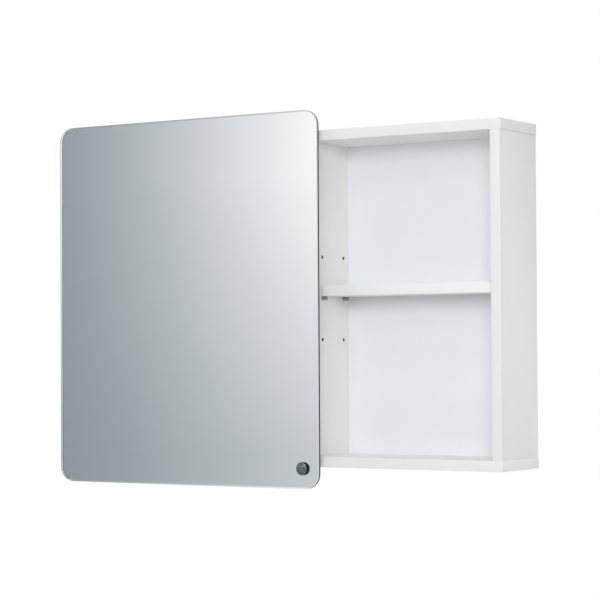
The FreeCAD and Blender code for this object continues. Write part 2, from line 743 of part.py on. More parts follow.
for side, x in hanger_columns.items():
    strap = extruded(f"{side}_hanger_strap", "YZ_Plane", hanger_corners, "hanger_width")
    depth = number(hanger_reach)
    plate = number("hanger_plate")
    inner_bends = [FreeCAD.Vector(0, plate, -plate), FreeCAD.Vector(0, depth - plate, -plate)]
    outer_bends = [FreeCAD.Vector(0, 0, 0), FreeCAD.Vector(0, depth, 0)]
    dress(strap, "Fillet", "Radius", "hanger_bend", corner_edges(x_axis, inner_bends))
    dress(strap, "Fillet", "Radius", "hanger_bend + hanger_plate", corner_edges(x_axis, outer_bends))
    place(strap, x, pad_back, hanger_top, unturned)
    axle_hole = rod(f"{side}_axle_hole", "axle_diameter + 2 * fit_play", "2 * hanger_plate",
                    x, f"({leg_back} - 3 / 2 * hanger_plate)", axle_z, towards_wall)
    finished(cut(f"{side}_hanger", strap, [axle_hole]), f"{side}_hanger")
    pad_x = (f"({x} - hanger_width / 2 + pad_margin)", f"({x} + hanger_width / 2 - pad_margin)")
    pad_z = (f"({top} + hanger_leg_gap + pad_margin)", f"({hanger_top} - hanger_bend - hanger_plate)")
    finished(block(f"{side}_hanger_tape", pad_x, (glass_back, pad_back), pad_z), f"{side}_hanger_pad")

    axle = turned(f"{side}_axle_pin", [
        ("0", "-axle_head_height"),
        ("axle_head / 2", "-axle_head_height"),
        ("axle_head / 2", "0"),
        ("axle_diameter / 2", "0"),
        ("axle_diameter / 2", axle_length),
        ("axle_head / 2", axle_length),
        ("axle_head / 2", f"{axle_length} + axle_head_height"),
        ("0", f"{axle_length} + axle_head_height")])
    place(axle, x, f"({leg_back} - hanger_plate)", axle_z, towards_wall)
    finished(axle, f"{side}_wheel_axle")

    wheel = turned(f"{side}_wheel_disc", [
        ("axle_diameter / 2 + running_play", "0"),
        ("wheel_diameter / 2 - wheel_round", "0"),
        ("wheel_diameter / 2", "wheel_round"),
        ("wheel_diameter / 2", "wheel_width - wheel_round"),
        ("wheel_diameter / 2 - wheel_round", "wheel_width"),
        ("axle_diameter / 2 + running_play", "wheel_width")])
    place(wheel, x, f"({track_y} - wheel_width / 2)", axle_z, towards_wall)
    finished(wheel, f"{side}_wheel")


# Guides: a bent plate glued behind the glass's lower edge that carries a shoe up into the lower channel.
guide_top = f"({bottom} - guide_drop)"
guide_fall = f"({guide_top} - {mirror_bottom} - guide_bottom_margin)"
guide_reach = f"({track_y} + guide_tail - {pad_back})"
guide_corners = [
    ("0", "0"),
    ("0", f"-{guide_fall}"),
    ("guide_plate", f"-{guide_fall}"),
    ("guide_plate", "-guide_plate"),
    (guide_reach, "-guide_plate"),
    (guide_reach, "0")]
tongue_half = "(track_width / 2 - track_wall - shoe_side_play)"
shoe_corners = [
    ("-guide_tail", "0"),
    ("guide_tail", "0"),
    ("guide_tail", "guide_drop - shoe_gap"),
    (tongue_half, "guide_drop - shoe_gap"),
    (tongue_half, f"{lower_track_roof} - {guide_top} - shoe_top_play"),
    (f"-{tongue_half}", f"{lower_track_roof} - {guide_top} - shoe_top_play"),
    (f"-{tongue_half}", "guide_drop - shoe_gap"),
    ("-guide_tail", "guide_drop - shoe_gap")]
for side, x in hanger_columns.items():
    guide = extruded(f"{side}_guide_plate", "YZ_Plane", guide_corners, "guide_width")
    plate = number("guide_plate")
    inner_bend = FreeCAD.Vector(0, plate, -plate)
    outer_bend = FreeCAD.Vector(0, 0, 0)
    dress(guide, "Fillet", "Radius", "guide_bend", corner_edges(x_axis, [inner_bend]))
    dress(guide, "Fillet", "Radius", "guide_bend + guide_plate", corner_edges(x_axis, [outer_bend]))
    place(guide, x, pad_back, guide_top, unturned)
    finished(guide, f"{side}_guide")
    pad_x = (f"({x} - guide_width / 2 + pad_margin)", f"({x} + guide_width / 2 - pad_margin)")
    pad_z = (f"({mirror_bottom} + guide_bottom_margin + pad_margin)",
             f"({guide_top} - guide_bend - guide_plate)")
    finished(block(f"{side}_guide_tape", pad_x, (glass_back, pad_back), pad_z), f"{side}_guide_pad")
    shoe = extruded(f"{side}_shoe_block", "YZ_Plane", shoe_corners, "shoe_length")
    place(shoe, x, track_y, guide_top, unturned)
    finished(shoe, f"{side}_guide_shoe")

doc.recompute()
for item in doc.Objects:
    if "Invalid" in item.State or "Error" in item.State:
        raise RuntimeError(f"{item.Name} failed: {item.State}")
for item in pieces:
    if item.Shape.isNull() or not item.Shape.isValid():
        raise RuntimeError(f"{item.Label} has no valid shape")

os.makedirs("parts", exist_ok=True)
for item in pieces:
    item.Shape.exportStep(os.path.join("parts", f"{item.Label}.step"))
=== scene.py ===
import json
import math

import bpy
from mathutils import Matrix, Vector

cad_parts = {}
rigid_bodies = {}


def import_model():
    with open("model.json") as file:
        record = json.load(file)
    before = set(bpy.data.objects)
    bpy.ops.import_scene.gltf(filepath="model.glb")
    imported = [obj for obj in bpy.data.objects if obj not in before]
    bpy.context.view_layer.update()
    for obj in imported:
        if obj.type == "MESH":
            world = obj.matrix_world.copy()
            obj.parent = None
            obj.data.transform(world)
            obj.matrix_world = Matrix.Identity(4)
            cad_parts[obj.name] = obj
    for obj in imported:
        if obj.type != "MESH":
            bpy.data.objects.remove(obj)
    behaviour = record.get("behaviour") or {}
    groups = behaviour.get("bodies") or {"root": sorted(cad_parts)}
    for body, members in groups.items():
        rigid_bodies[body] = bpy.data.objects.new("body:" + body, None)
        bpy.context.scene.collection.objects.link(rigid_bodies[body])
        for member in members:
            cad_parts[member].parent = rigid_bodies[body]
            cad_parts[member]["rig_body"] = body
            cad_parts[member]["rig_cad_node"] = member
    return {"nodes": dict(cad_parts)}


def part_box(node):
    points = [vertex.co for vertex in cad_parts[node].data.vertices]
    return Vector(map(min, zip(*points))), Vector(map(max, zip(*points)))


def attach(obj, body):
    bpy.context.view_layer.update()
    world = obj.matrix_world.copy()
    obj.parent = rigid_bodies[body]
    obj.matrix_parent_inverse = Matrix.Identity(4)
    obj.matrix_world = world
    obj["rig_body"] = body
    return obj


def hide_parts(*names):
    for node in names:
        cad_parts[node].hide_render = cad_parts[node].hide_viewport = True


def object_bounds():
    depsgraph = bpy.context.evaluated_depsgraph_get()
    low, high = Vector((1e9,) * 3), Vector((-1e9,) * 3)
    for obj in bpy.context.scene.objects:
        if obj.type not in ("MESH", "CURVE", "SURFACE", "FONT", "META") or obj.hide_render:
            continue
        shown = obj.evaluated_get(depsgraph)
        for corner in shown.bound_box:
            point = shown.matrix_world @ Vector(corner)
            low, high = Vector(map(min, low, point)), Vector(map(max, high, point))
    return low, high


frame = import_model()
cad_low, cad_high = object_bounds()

# Carcass boards
# Top, bottom, two sides and a partition, sawn from 16 mm chipboard faced with white melamine.
# The arrises are eased with fine paper and rear edges show bare chips; drillings and grooves take painted
# shade.
mm = 0.001
touch = 0.01 * mm
weld = 0.002 * mm
board_arris = 0.8 * mm
melamine_light = "#F6F6F5"
melamine_shade = "#F2F2F1"
melamine_cloud_mm = 70
melamine_pearl_mm = 0.9
chip_dark = "#7A5A3A"
chip_pale = "#C9A877"
chip_mm = 2.2
bore_shade_dark = "#2B2826"
bore_shade_light = "#4A443D"


def linear(hex_colour):
    """Linear colour with full opacity from an sRGB hex value."""
    shares = [int(hex_colour[at:at + 2], 16) / 255 for at in (1, 3, 5)]
    return [c / 12.92 if c <= 0.04045 else ((c + 0.055) / 1.055) ** 2.4 for c in shares] + [1.0]


def add_node(owner, kind, inputs=None, **settings):
    """Add a node with its settings; an input given as an output socket is linked, any other is set."""
    node = owner.node_tree.nodes.new(kind)
    for name, value in settings.items():
        setattr(node, name, value)
    for name, value in (inputs or {}).items():
        if isinstance(value, bpy.types.NodeSocket):
            owner.node_tree.links.new(value, node.inputs[name])
        else:
            node.inputs[name].default_value = value
    return node


def begin_material(name):
    """New material that holds only its coordinates, which are handed back beside it."""
    material = bpy.data.materials.new(name)
    material.use_nodes = True
    material.node_tree.nodes.clear()
    return material, add_node(material, "ShaderNodeTexCoord").outputs["Object"]


def end_material(material, **sockets):
    """Close a material with its shader, whose sockets are named in words joined by underscores."""
    named = {name.replace("_", " "): value for name, value in sockets.items()}
    shader = add_node(material, "ShaderNodeBsdfPrincipled", named)
    add_node(material, "ShaderNodeOutputMaterial", {"Surface": shader.outputs["BSDF"]})
    return material


def take(piece):
    """Select one piece alone and make it the active one."""
    bpy.ops.object.select_all(action="DESELECT")
    piece.select_set(True)
    bpy.context.view_layer.objects.active = piece


def choose(piece, kind, test):
    """Go into edit mode with only those points, edges or faces selected that pass a test."""
    take(piece)
    bpy.ops.object.mode_set(mode="EDIT")
    bpy.ops.mesh.select_mode(type=kind)
    bpy.ops.mesh.select_all(action="DESELECT")
    bpy.ops.object.mode_set(mode="OBJECT")
    mesh = piece.data
    for item in {"VERT": mesh.vertices, "EDGE": mesh.edges, "FACE": mesh.polygons}[kind]:
        item.select = bool(test(item))
    bpy.ops.object.mode_set(mode="EDIT")


def ends_of(piece, edge):
    return [piece.data.vertices[index].co for index in edge.vertices]


def round_edges(piece, radius, test, steps=3):
    """Round the edges whose two ends pass a test together."""
    choose(piece, "EDGE", lambda edge: test(*ends_of(piece, edge)))
    bpy.ops.mesh.bevel(offset=radius, segments=steps, affect="EDGES", clamp_overlap=False)
    bpy.ops.object.mode_set(mode="OBJECT")


def copy_of(node):
    """Piece with its own merged mesh in the shape of a CAD node."""
    take(frame["nodes"][node])
    bpy.ops.object.duplicate()
    piece = bpy.context.active_object
    piece.parent = None
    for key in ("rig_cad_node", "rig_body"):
        del piece[key]
    bpy.ops.mesh.customdata_custom_splitnormals_clear()
    bpy.ops.object.mode_set(mode="EDIT")
    bpy.ops.mesh.select_all(action="SELECT")
    bpy.ops.mesh.remove_doubles(threshold=weld)
    bpy.ops.mesh.dissolve_limited(angle_limit=math.radians(0.5))
    bpy.ops.object.mode_set(mode="OBJECT")
    return piece


def outer_planes(point, low, high):
    """Outer planes of a box that a point lies on, each as an axis and a side."""
    sides = (("low", low), ("high", high))
    limits = [(axis, side, corner[axis]) for axis in range(3) for side, corner in sides]
    return {(axis, side) for axis, side, limit in limits if abs(point[axis] - limit) < touch}


def eased_copy(node, radius, plain=()):
    """Copy of a node with its outermost arrises rounded, apart from those on the plain planes."""
    low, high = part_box(node)

    def is_arris(start, end):
        shared = outer_planes(start, low, high) & outer_planes(end, low, high)
        return len(shared) >= 2 and not shared & set(plain)
    piece = copy_of(node)
    round_edges(piece, radius, is_arris)
    return piece


def dress(piece, name, body, finishes, stands_for=(), zone=None, smooth=35):
    """Name a piece, give its faces their finishes and set it on the body that carries it."""
    take(piece)
    piece.name = name
    piece.data.name = name
    piece.data.materials.clear()
    for material in finishes:
        piece.data.materials.append(material)
    for face in piece.data.polygons:
        face.material_index = zone(face) if zone else 0
    bpy.ops.object.shade_smooth_by_angle(angle=math.radians(smooth))
    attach(piece, body)
    if stands_for:
        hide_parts(*stands_for)
    return piece


def finish_node(node, material):
    """Give a CAD node that keeps its own shape its finish."""
    frame["nodes"][node].data.materials.clear()
    frame["nodes"][node].data.materials.append(material)


# melamine: paper soaked in resin and pressed on a satin plate, so an even white with a very fine pearl
white_melamine, spot = begin_material("white_melamine")
cloud = add_node(white_melamine, "ShaderNodeTexNoise",
                 {"Vector": spot, "Scale": 1000 / melamine_cloud_mm, "Detail": 2.0})
pearl = add_node(white_melamine, "ShaderNodeTexNoise",
                 {"Vector": spot, "Scale": 1000 / melamine_pearl_mm, "Detail": 2.0})
tone = add_node(white_melamine, "ShaderNodeMixRGB",
                {"Fac": cloud.outputs["Fac"], "Color1": linear(melamine_shade),
                 "Color2": linear(melamine_light)})
satin = add_node(white_melamine, "ShaderNodeMapRange",
                 {"Value": pearl.outputs["Fac"], "To Min": 0.36, "To Max": 0.48})
relief = add_node(white_melamine, "ShaderNodeBump",
                  {"Height": pearl.outputs["Fac"], "Strength": 0.12, "Distance": 0.03 * mm})
end_material(white_melamine, Base_Color=tone.outputs["Color"], Roughness=satin.outputs["Result"],
             IOR=1.5, Normal=relief.outputs["Normal"])

# chipboard: pressed wood chips, which the saw leaves as a rough brown mosaic
bare_chipboard, spot = begin_material("bare_chipboard")
chips = add_node(bare_chipboard, "ShaderNodeTexVoronoi", {"Vector": spot, "Scale": 1000 / chip_mm})
grit = add_node(bare_chipboard, "ShaderNodeTexNoise",
                {"Vector": spot, "Scale": 4000 / chip_mm, "Detail": 3.0})
chip_tone = add_node(bare_chipboard, "ShaderNodeSeparateColor", {"Color": chips.outputs["Color"]})
tone = add_node(bare_chipboard, "ShaderNodeMixRGB",
                {"Fac": chip_tone.outputs["Red"], "Color1": linear(chip_dark), "Color2": linear(chip_pale)})
relief = add_node(bare_chipboard, "ShaderNodeBump",
                  {"Height": grit.outputs["Fac"], "Strength": 0.6, "Distance": 0.3 * mm})
end_material(bare_chipboard, Base_Color=tone.outputs["Color"], Roughness=0.9, Normal=relief.outputs["Normal"])

# bore: the same chips, painted near black as painted shade in the bores and grooves, so hardly any brown is
# left
shaded_bore, spot = begin_material("chipboard_bore_shade")
chips = add_node(shaded_bore, "ShaderNodeTexVoronoi", {"Vector": spot, "Scale": 1000 / chip_mm})
tone = add_node(shaded_bore, "ShaderNodeMixRGB",
                {"Fac": chips.outputs["Distance"], "Color1": linear(bore_shade_dark), "Color2": linear(bore_shade_light)})
end_material(shaded_bore, Base_Color=tone.outputs["Color"], Roughness=0.95)

front_plane = (1, "low")
board_finish = [white_melamine, bare_chipboard, shaded_bore]


def board_zone(node):
    """Chooser between a board's faced sides, its bare rear edge, and the bores and grooves in painted shade.
    """
    low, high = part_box(node)
    skin = 0.7 * board_arris

    def zone(face):
        depths = [min(face.center[axis] - low[axis], high[axis] - face.center[axis]) for axis in range(3)]
        if min(depths[0], depths[2], face.center.y - low.y) < skin:
            return 0
        # every inner face but the rear edge takes the painted shade of the bores
        return 1 if face.normal.y > 0.5 else 2
    return zone


for node in ("top_panel", "bottom_panel", "left_side_panel", "right_side_panel", "centre_partition"):
    board = eased_copy(node, board_arris, plain=[front_plane])
    dress(board, f"{node}_board", "carcass", board_finish, [node], board_zone(node))

# Edge bands
# White plastic edging, 0.8 mm thick, ironed on over the sawn front edges and rounded over with a trimmer.
# The ends of the top and the bottom have a faced strip, which stands a little proud of the sides.
band_round = 0.65 * mm
end_band = 0.9 * mm
edging_light = "#EEEEED"
edging_shade = "#EAEAE9"
edging_drag_mm = 25
edging_grain_mm = 0.5


def block(low, high):
    """Straight block between two corners."""
    bpy.ops.object.select_all(action="DESELECT")
    middle = [(a + b) / 2 for a, b in zip(low, high)]
    bpy.ops.mesh.primitive_cube_add(size=1, location=middle)
    piece = bpy.context.active_object
    piece.scale = [b - a for a, b in zip(low, high)]
    bpy.ops.object.transform_apply(location=True, rotation=True, scale=True)
    return piece


def join(members):
    """One piece of several."""
    take(members[0])
    for member in members:
        member.select_set(True)
    if len(members) > 1:
        bpy.ops.object.join()
    return members[0]


# plastic edging: extruded strip with faint drag marks along its length and a soft sheen
white_edging, spot = begin_material("white_edging_strip")
drag = add_node(white_edging, "ShaderNodeTexNoise",
                {"Vector": spot, "Scale": 1000 / edging_drag_mm, "Detail": 2.0})
grain = add_node(white_edging, "ShaderNodeTexNoise",
                 {"Vector": spot, "Scale": 1000 / edging_grain_mm, "Detail": 2.0})
tone = add_node(white_edging, "ShaderNodeMixRGB",
                {"Fac": drag.outputs["Fac"], "Color1": linear(edging_shade), "Color2": linear(edging_light)})
satin = add_node(white_edging, "ShaderNodeMapRange",
                 {"Value": grain.outputs["Fac"], "To Min": 0.32, "To Max": 0.44})
end_material(white_edging, Base_Color=tone.outputs["Color"], Roughness=satin.outputs["Result"], IOR=1.5)


def edge_band(covered, y_low, y_high):
    """Strip over the front edge of a board, its two long front arrises and its ends rounded."""
    low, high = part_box(covered)
    strip = block((low.x, y_low, low.z), (high.x, y_high, high.z))
    round_edges(strip, band_round, lambda start, end: max(start.y, end.y) < y_low + touch)
    return strip


band_low, band_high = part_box("front_edge_bands")
bands = [edge_band(node, band_low.y, band_high.y) for node in (
    "top_panel", "bottom_panel", "left_side_panel", "right_side_panel", "centre_partition")]
dress(join(bands), "front_edging", "carcass", [white_edging], ["front_edge_bands"])

end_strips = []
for node in ("top_panel", "bottom_panel"):
    low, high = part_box(node)
    for x_low, x_high in ((low.x - end_band, low.x), (high.x, high.x + end_band)):
        strip = block((x_low, band_low.y, low.z), (x_high, high.y, high.z))
        far = x_low if x_low < 0 else x_high
        round_edges(strip, band_round, lambda start, end: abs(start.x - far) + abs(end.x - far) < touch)
        end_strips.append(strip)
dress(join(end_strips), "end_edging", "carcass", [white_melamine])

# Dowels and connecting screws
# Fluted beech dowels keep the boards in line, and long zinc plated screws with a hexagon socket pull
# them together from outside. Both are hidden in the boards once the caps are in.
beech_pale = "#C49A66"
beech_dark = "#9C7242"
beech_grain_mm = 1.2
zinc_bright = "#C6C9CC"
zinc_dull = "#A6AAAE"
zinc_bloom_mm = 6
zinc_grit_mm = 0.4

# beech: turned across the grain lines, dry and matt
beech, spot = begin_material("turned_beech")
stretched = add_node(beech, "ShaderNodeMapping", {"Vector": spot, "Scale": (1.0, 1.0, 0.08)})
grain = add_node(beech, "ShaderNodeTexNoise",
                 {"Vector": stretched.outputs["Vector"], "Scale": 1000 / beech_grain_mm, "Detail": 3.0})
tone = add_node(beech, "ShaderNodeMixRGB",
                {"Fac": grain.outputs["Fac"], "Color1": linear(beech_dark), "Color2": linear(beech_pale)})
relief = add_node(beech, "ShaderNodeBump",
                  {"Height": grain.outputs["Fac"], "Strength": 0.3, "Distance": 0.1 * mm})
end_material(beech, Base_Color=tone.outputs["Color"], Roughness=0.7, Normal=relief.outputs["Normal"])

# zinc plate: thin bright coat with a cloudy bluish bloom, duller where it was handled
zinc_steel, spot = begin_material("zinc_plated_steel")
bloom = add_node(zinc_steel, "ShaderNodeTexNoise",
                 {"Vector": spot, "Scale": 1000 / zinc_bloom_mm, "Detail": 4.0})
grit = add_node(zinc_steel, "ShaderNodeTexNoise",
                {"Vector": spot, "Scale": 1000 / zinc_grit_mm, "Detail": 2.0})
tone = add_node(zinc_steel, "ShaderNodeMixRGB",
                {"Fac": bloom.outputs["Fac"], "Color1": linear(zinc_dull), "Color2": linear(zinc_bright)})
gloss = add_node(zinc_steel, "ShaderNodeMapRange",
                 {"Value": bloom.outputs["Fac"], "To Min": 0.42, "To Max": 0.26})
relief = add_node(zinc_steel, "ShaderNodeBump",
                  {"Height": grit.outputs["Fac"], "Strength": 0.08, "Distance": 0.05 * mm})
end_material(zinc_steel, Base_Color=tone.outputs["Color"], Metallic=1.0, Roughness=gloss.outputs["Result"],
             Normal=relief.outputs["Normal"])

finish_node("carcass_dowels", beech)
finish_node("carcass_screws", zinc_steel)

# Screw caps
# Twelve thin domed caps of moulded white plastic, each pressed by its peg into a screw's socket.
cap_rim = 0.3 * mm
cap_peg_radius = 1.8 * mm
cap_steps = 40
cap_light = "#EFEFEC"
cap_shade = "#E6E6E2"
cap_flow_mm = 3


def turned(profile, steps):
    """Round piece about Z from pairs of radius and height, drawn as one line and spun."""
    bpy.ops.object.select_all(action="DESELECT")
    bpy.ops.mesh.primitive_plane_add(size=mm)
    piece = bpy.context.active_object
    bpy.ops.object.mode_set(mode="EDIT")
    bpy.ops.mesh.select_mode(type="VERT")
    bpy.ops.mesh.select_all(action="SELECT")
    bpy.ops.mesh.merge(type="CENTER")
    bpy.ops.transform.translate(value=(profile[0][0], 0, profile[0][1]))
    for (radius, height), (next_radius, next_height) in zip(profile, profile[1:]):
        step = (next_radius - radius, 0, next_height - height)
        bpy.ops.mesh.extrude_vertices_move(TRANSFORM_OT_translate={"value": step})
    bpy.ops.mesh.select_all(action="SELECT")
    bpy.ops.mesh.spin(steps=steps, angle=2 * math.pi, center=(0, 0, 0), axis=(0, 0, 1))
    bpy.ops.mesh.select_all(action="SELECT")
    bpy.ops.mesh.remove_doubles(threshold=weld)
    bpy.ops.mesh.normals_make_consistent(inside=False)
    bpy.ops.object.mode_set(mode="OBJECT")
    return piece


def arc(centre, radius, start, end, steps=6):
    """Points of a round stretch of a profile about a centre, between two angles in degrees."""
    angles = [math.radians(start + (end - start) * step / steps) for step in range(steps + 1)]
    return [(centre[0] + radius * math.cos(a), centre[1] + radius * math.sin(a)) for a in angles]


def stand(piece, place, turn=(0, 0, 0)):
    """Turn a piece by angles in degrees about X, Y and Z, move it, and put both into its mesh."""
    take(piece)
    piece.rotation_euler = [math.radians(angle) for angle in turn]
    piece.location = place
    bpy.ops.object.transform_apply(location=True, rotation=True, scale=True)
    return piece


def set_out(master, places):
    """Copies of a master, each with its own mesh at its place and turn, as one piece."""
    copies = []
    for place, turn in places:
        take(master)
        bpy.ops.object.duplicate()
        copies.append(stand(bpy.context.active_object, place, turn))
    take(master)
    bpy.ops.object.delete()
    return join(copies)


def solids_of(node):
    """Lowest and highest corner of each separate solid in a node, in a fixed order."""
    take(copy_of(node))
    bpy.ops.object.mode_set(mode="EDIT")
    bpy.ops.mesh.select_all(action="SELECT")
    bpy.ops.mesh.separate(type="LOOSE")
    bpy.ops.object.mode_set(mode="OBJECT")
    boxes = []
    for part in bpy.context.selected_objects:
        points = [vertex.co for vertex in part.data.vertices]
        boxes.append([Vector([pick(p[axis] for p in points) for axis in range(3)]) for pick in (min, max)])
    bpy.ops.object.delete()
    return sorted(boxes, key=lambda corners: [round(value, 5) for value in corners[0]])


upright = (0, 0, 0)
upside_down = (180, 0, 0)
towards_room = (90, 0, 0)
towards_wall = (-90, 0, 0)
towards_right = (0, 90, 0)
towards_left = (0, -90, 0)

# polypropylene: glossy and slightly waxy, with faint flow marks from the mould
white_polypropylene, spot = begin_material("moulded_polypropylene")
flow = add_node(white_polypropylene, "ShaderNodeTexNoise",
                {"Vector": spot, "Scale": 1000 / cap_flow_mm, "Detail": 2.0})
tone = add_node(white_polypropylene, "ShaderNodeMixRGB",
                {"Fac": flow.outputs["Fac"], "Color1": linear(cap_shade), "Color2": linear(cap_light)})
gloss = add_node(white_polypropylene, "ShaderNodeMapRange",
                 {"Value": flow.outputs["Fac"], "To Min": 0.22, "To Max": 0.34})
end_material(white_polypropylene, Base_Color=tone.outputs["Color"], Roughness=gloss.outputs["Result"],
             IOR=1.49)

top_low, top_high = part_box("top_panel")
bottom_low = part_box("bottom_panel")[0]
cap_boxes = solids_of("screw_caps")
cap_places = []
for low, high in cap_boxes:
    middle = (low + high) / 2
    if middle.z > 0:
        cap_places.append(((middle.x, middle.y, top_high.z), upright))
    else:
        cap_places.append(((middle.x, middle.y, bottom_low.z), upside_down))
low, high = cap_boxes[-1]
cap_radius = (high.x - low.x) / 2
cap_height = max(high.z - top_high.z, bottom_low.z - low.z)
cap_peg = high.z - low.z - cap_height
dome_rise = cap_height - cap_rim
dome_radius = (cap_radius ** 2 + dome_rise ** 2) / (2 * dome_rise)
dome_half_angle = math.degrees(math.asin(cap_radius / dome_radius))
cap_master = turned(
    arc((0, cap_height - dome_radius), dome_radius, 90, 90 - dome_half_angle)
    + [(cap_radius, 0), (cap_peg_radius, 0), (cap_peg_radius, -cap_peg), (0, -cap_peg)], cap_steps)
dress(set_out(cap_master, cap_places), "screw_cap_set", "carcass", [white_polypropylene],
      ["screw_caps"])

# Back
# A 4 mm sheet of hardboard, lacquered a cool white on its face and left brown behind, let into the
# rebates and held by a row of flat-headed nails.
back_light = "#F1F3F8"
back_shade = "#EDEFF4"
back_roller_mm = 3
back_cloud_mm = 90
hardboard_pale = "#8F6B45"
hardboard_dark = "#6E4F31"
hardboard_mesh_mm = 1.6

# hardboard: pressed fibre; the face has a rolled lacquer, the rear the print of the press's wire mesh
lacquered_hardboard, spot = begin_material("lacquered_hardboard")
facing = add_node(lacquered_hardboard, "ShaderNodeTexCoord").outputs["Normal"]
rearward = add_node(lacquered_hardboard, "ShaderNodeSeparateXYZ", {"Vector": facing})
is_rear = add_node(lacquered_hardboard, "ShaderNodeMath",
                   {0: rearward.outputs["Y"], 1: 0.5}, operation="GREATER_THAN")
cloud = add_node(lacquered_hardboard, "ShaderNodeTexNoise",
                 {"Vector": spot, "Scale": 1000 / back_cloud_mm, "Detail": 2.0})
roller = add_node(lacquered_hardboard, "ShaderNodeTexNoise",
                  {"Vector": spot, "Scale": 1000 / back_roller_mm, "Detail": 2.0})
fibres = add_node(lacquered_hardboard, "ShaderNodeTexNoise",
                  {"Vector": spot, "Scale": 3000 / hardboard_mesh_mm, "Detail": 4.0})
wires = add_node(lacquered_hardboard, "ShaderNodeTexVoronoi",
                 {"Vector": spot, "Scale": 1000 / hardboard_mesh_mm, "Randomness": 0.15})
lacquer = add_node(lacquered_hardboard, "ShaderNodeMixRGB",
                   {"Fac": cloud.outputs["Fac"], "Color1": linear(back_shade), "Color2": linear(back_light)})
patchy = add_node(lacquered_hardboard, "ShaderNodeMath",
                  {0: fibres.outputs["Fac"], 1: cloud.outputs["Fac"]}, operation="MULTIPLY")
pressed = add_node(lacquered_hardboard, "ShaderNodeMapRange",
                   {"Value": patchy.outputs["Value"], "From Min": 0.12, "From Max": 0.4})
brown = add_node(lacquered_hardboard, "ShaderNodeMixRGB",
                 {"Fac": pressed.outputs["Result"], "Color1": linear(hardboard_dark),
                  "Color2": linear(hardboard_pale)})
tone = add_node(lacquered_hardboard, "ShaderNodeMixRGB",
                {"Fac": is_rear.outputs["Value"], "Color1": lacquer.outputs["Color"],
                 "Color2": brown.outputs["Color"]})
satin = add_node(lacquered_hardboard, "ShaderNodeMapRange",
                 {"Value": is_rear.outputs["Value"], "To Min": 0.42, "To Max": 0.8})
height = add_node(lacquered_hardboard, "ShaderNodeMixRGB",
                  {"Fac": is_rear.outputs["Value"], "Color1": roller.outputs["Fac"],
                   "Color2": wires.outputs["Distance"]})
relief = add_node(lacquered_hardboard, "ShaderNodeBump",
                  {"Height": height.outputs["Color"], "Strength": 0.15, "Distance": 0.2 * mm})
end_material(lacquered_hardboard, Base_Color=tone.outputs["Color"], Roughness=satin.outputs["Result"],
             IOR=1.5, Normal=relief.outputs["Normal"])
finish_node("back_panel", lacquered_hardboard)
finish_node("back_panel_nails", zinc_steel)

# Hanging brackets
# Two angles bent from 2 mm zinc plated strip in the upper corners, each with one wall hole and two
# pan-head screws with a cross recess up into the top.
bracket_plate = 2 * mm
bracket_edge = 0.3 * mm
pan_round = 0.9 * mm
recess_width = 1.1 * mm
recess_length = 3.8 * mm
recess_depth = 1.2 * mm
screw_steps = 32


def carve(piece, cutter):
    """Cut one piece out of another and drop the cutter."""
    take(piece)
    cutting = piece.modifiers.new("carve", "BOOLEAN")
    cutting.operation = "DIFFERENCE"
    cutting.solver = "EXACT"
    cutting.object = cutter
    bpy.ops.object.modifier_apply(modifier=cutting.name)
    take(cutter)
    bpy.ops.object.delete()
    return piece


def cross_recess(piece, top):
    """Cut a driver's cross into the top of an upright screw."""
    for along, across in ((recess_length, recess_width), (recess_width, recess_length)):
        carve(piece, block((-along / 2, -across / 2, top - recess_depth), (along / 2, across / 2, top + mm)))
    return piece


for side in ("left", "right"):
    node = f"{side}_hanging_bracket"
    dress(eased_copy(node, bracket_edge), f"{side}_wall_bracket", "carcass", [zinc_steel],
          [node])

screw_seat = top_low.z - bracket_plate
screw_boxes = solids_of("hanging_bracket_screws")
screw_places = []
for low, high in screw_boxes:
    middle = (low + high) / 2
    screw_places.append(((middle.x, middle.y, screw_seat), upside_down))
low, high = screw_boxes[-1]
pan_radius = (high.x - low.x) / 2
pan_height = screw_seat - low.z
pan_shank = high.z - screw_seat
shank_radius = pan_radius / 2
pan_master = turned(
    [(0, pan_height)]
    + arc((pan_radius - pan_round, pan_height - pan_round), pan_round, 90, 0)
    + [(pan_radius, 0), (shank_radius, 0), (shank_radius, shank_radius - pan_shank), (0, -pan_shank)],
    screw_steps)
cross_recess(pan_master, pan_height)
dress(set_out(pan_master, screw_places), "bracket_screw_set", "carcass", [zinc_steel],
      ["hanging_bracket_screws"])

# Channels
# Two drawn aluminium channels let flush into the top and the underside, held by countersunk screws,
# with a rubber stop pressed into each end of the upper one.
drawn_light = "#CBCDD0"
drawn_dark = "#B2B5B9"
drawn_line_mm = 0.35
drawn_run_mm = 80
stop_edge = 0.6 * mm
rubber_black = "#1B1B1C"
rubber_grey = "#262627"
rubber_grit_mm = 0.8

# drawn aluminium: mill finish with fine lines along its length from the die
drawn_aluminium, spot = begin_material("drawn_aluminium")
along = add_node(drawn_aluminium, "ShaderNodeMapping",
                 {"Vector": spot, "Scale": (1000 / drawn_run_mm, 1000 / drawn_line_mm, 1000 / drawn_line_mm)})
lines = add_node(drawn_aluminium, "ShaderNodeTexNoise",
                 {"Vector": along.outputs["Vector"], "Scale": 1.0, "Detail": 2.0})
tone = add_node(drawn_aluminium, "ShaderNodeMixRGB",
                {"Fac": lines.outputs["Fac"], "Color1": linear(drawn_dark), "Color2": linear(drawn_light)})
gloss = add_node(drawn_aluminium, "ShaderNodeMapRange",
                 {"Value": lines.outputs["Fac"], "To Min": 0.3, "To Max": 0.45})
relief = add_node(drawn_aluminium, "ShaderNodeBump",
                  {"Height": lines.outputs["Fac"], "Strength": 0.15, "Distance": 0.05 * mm})
end_material(drawn_aluminium, Base_Color=tone.outputs["Color"], Metallic=1.0,
             Roughness=gloss.outputs["Result"], Normal=relief.outputs["Normal"])

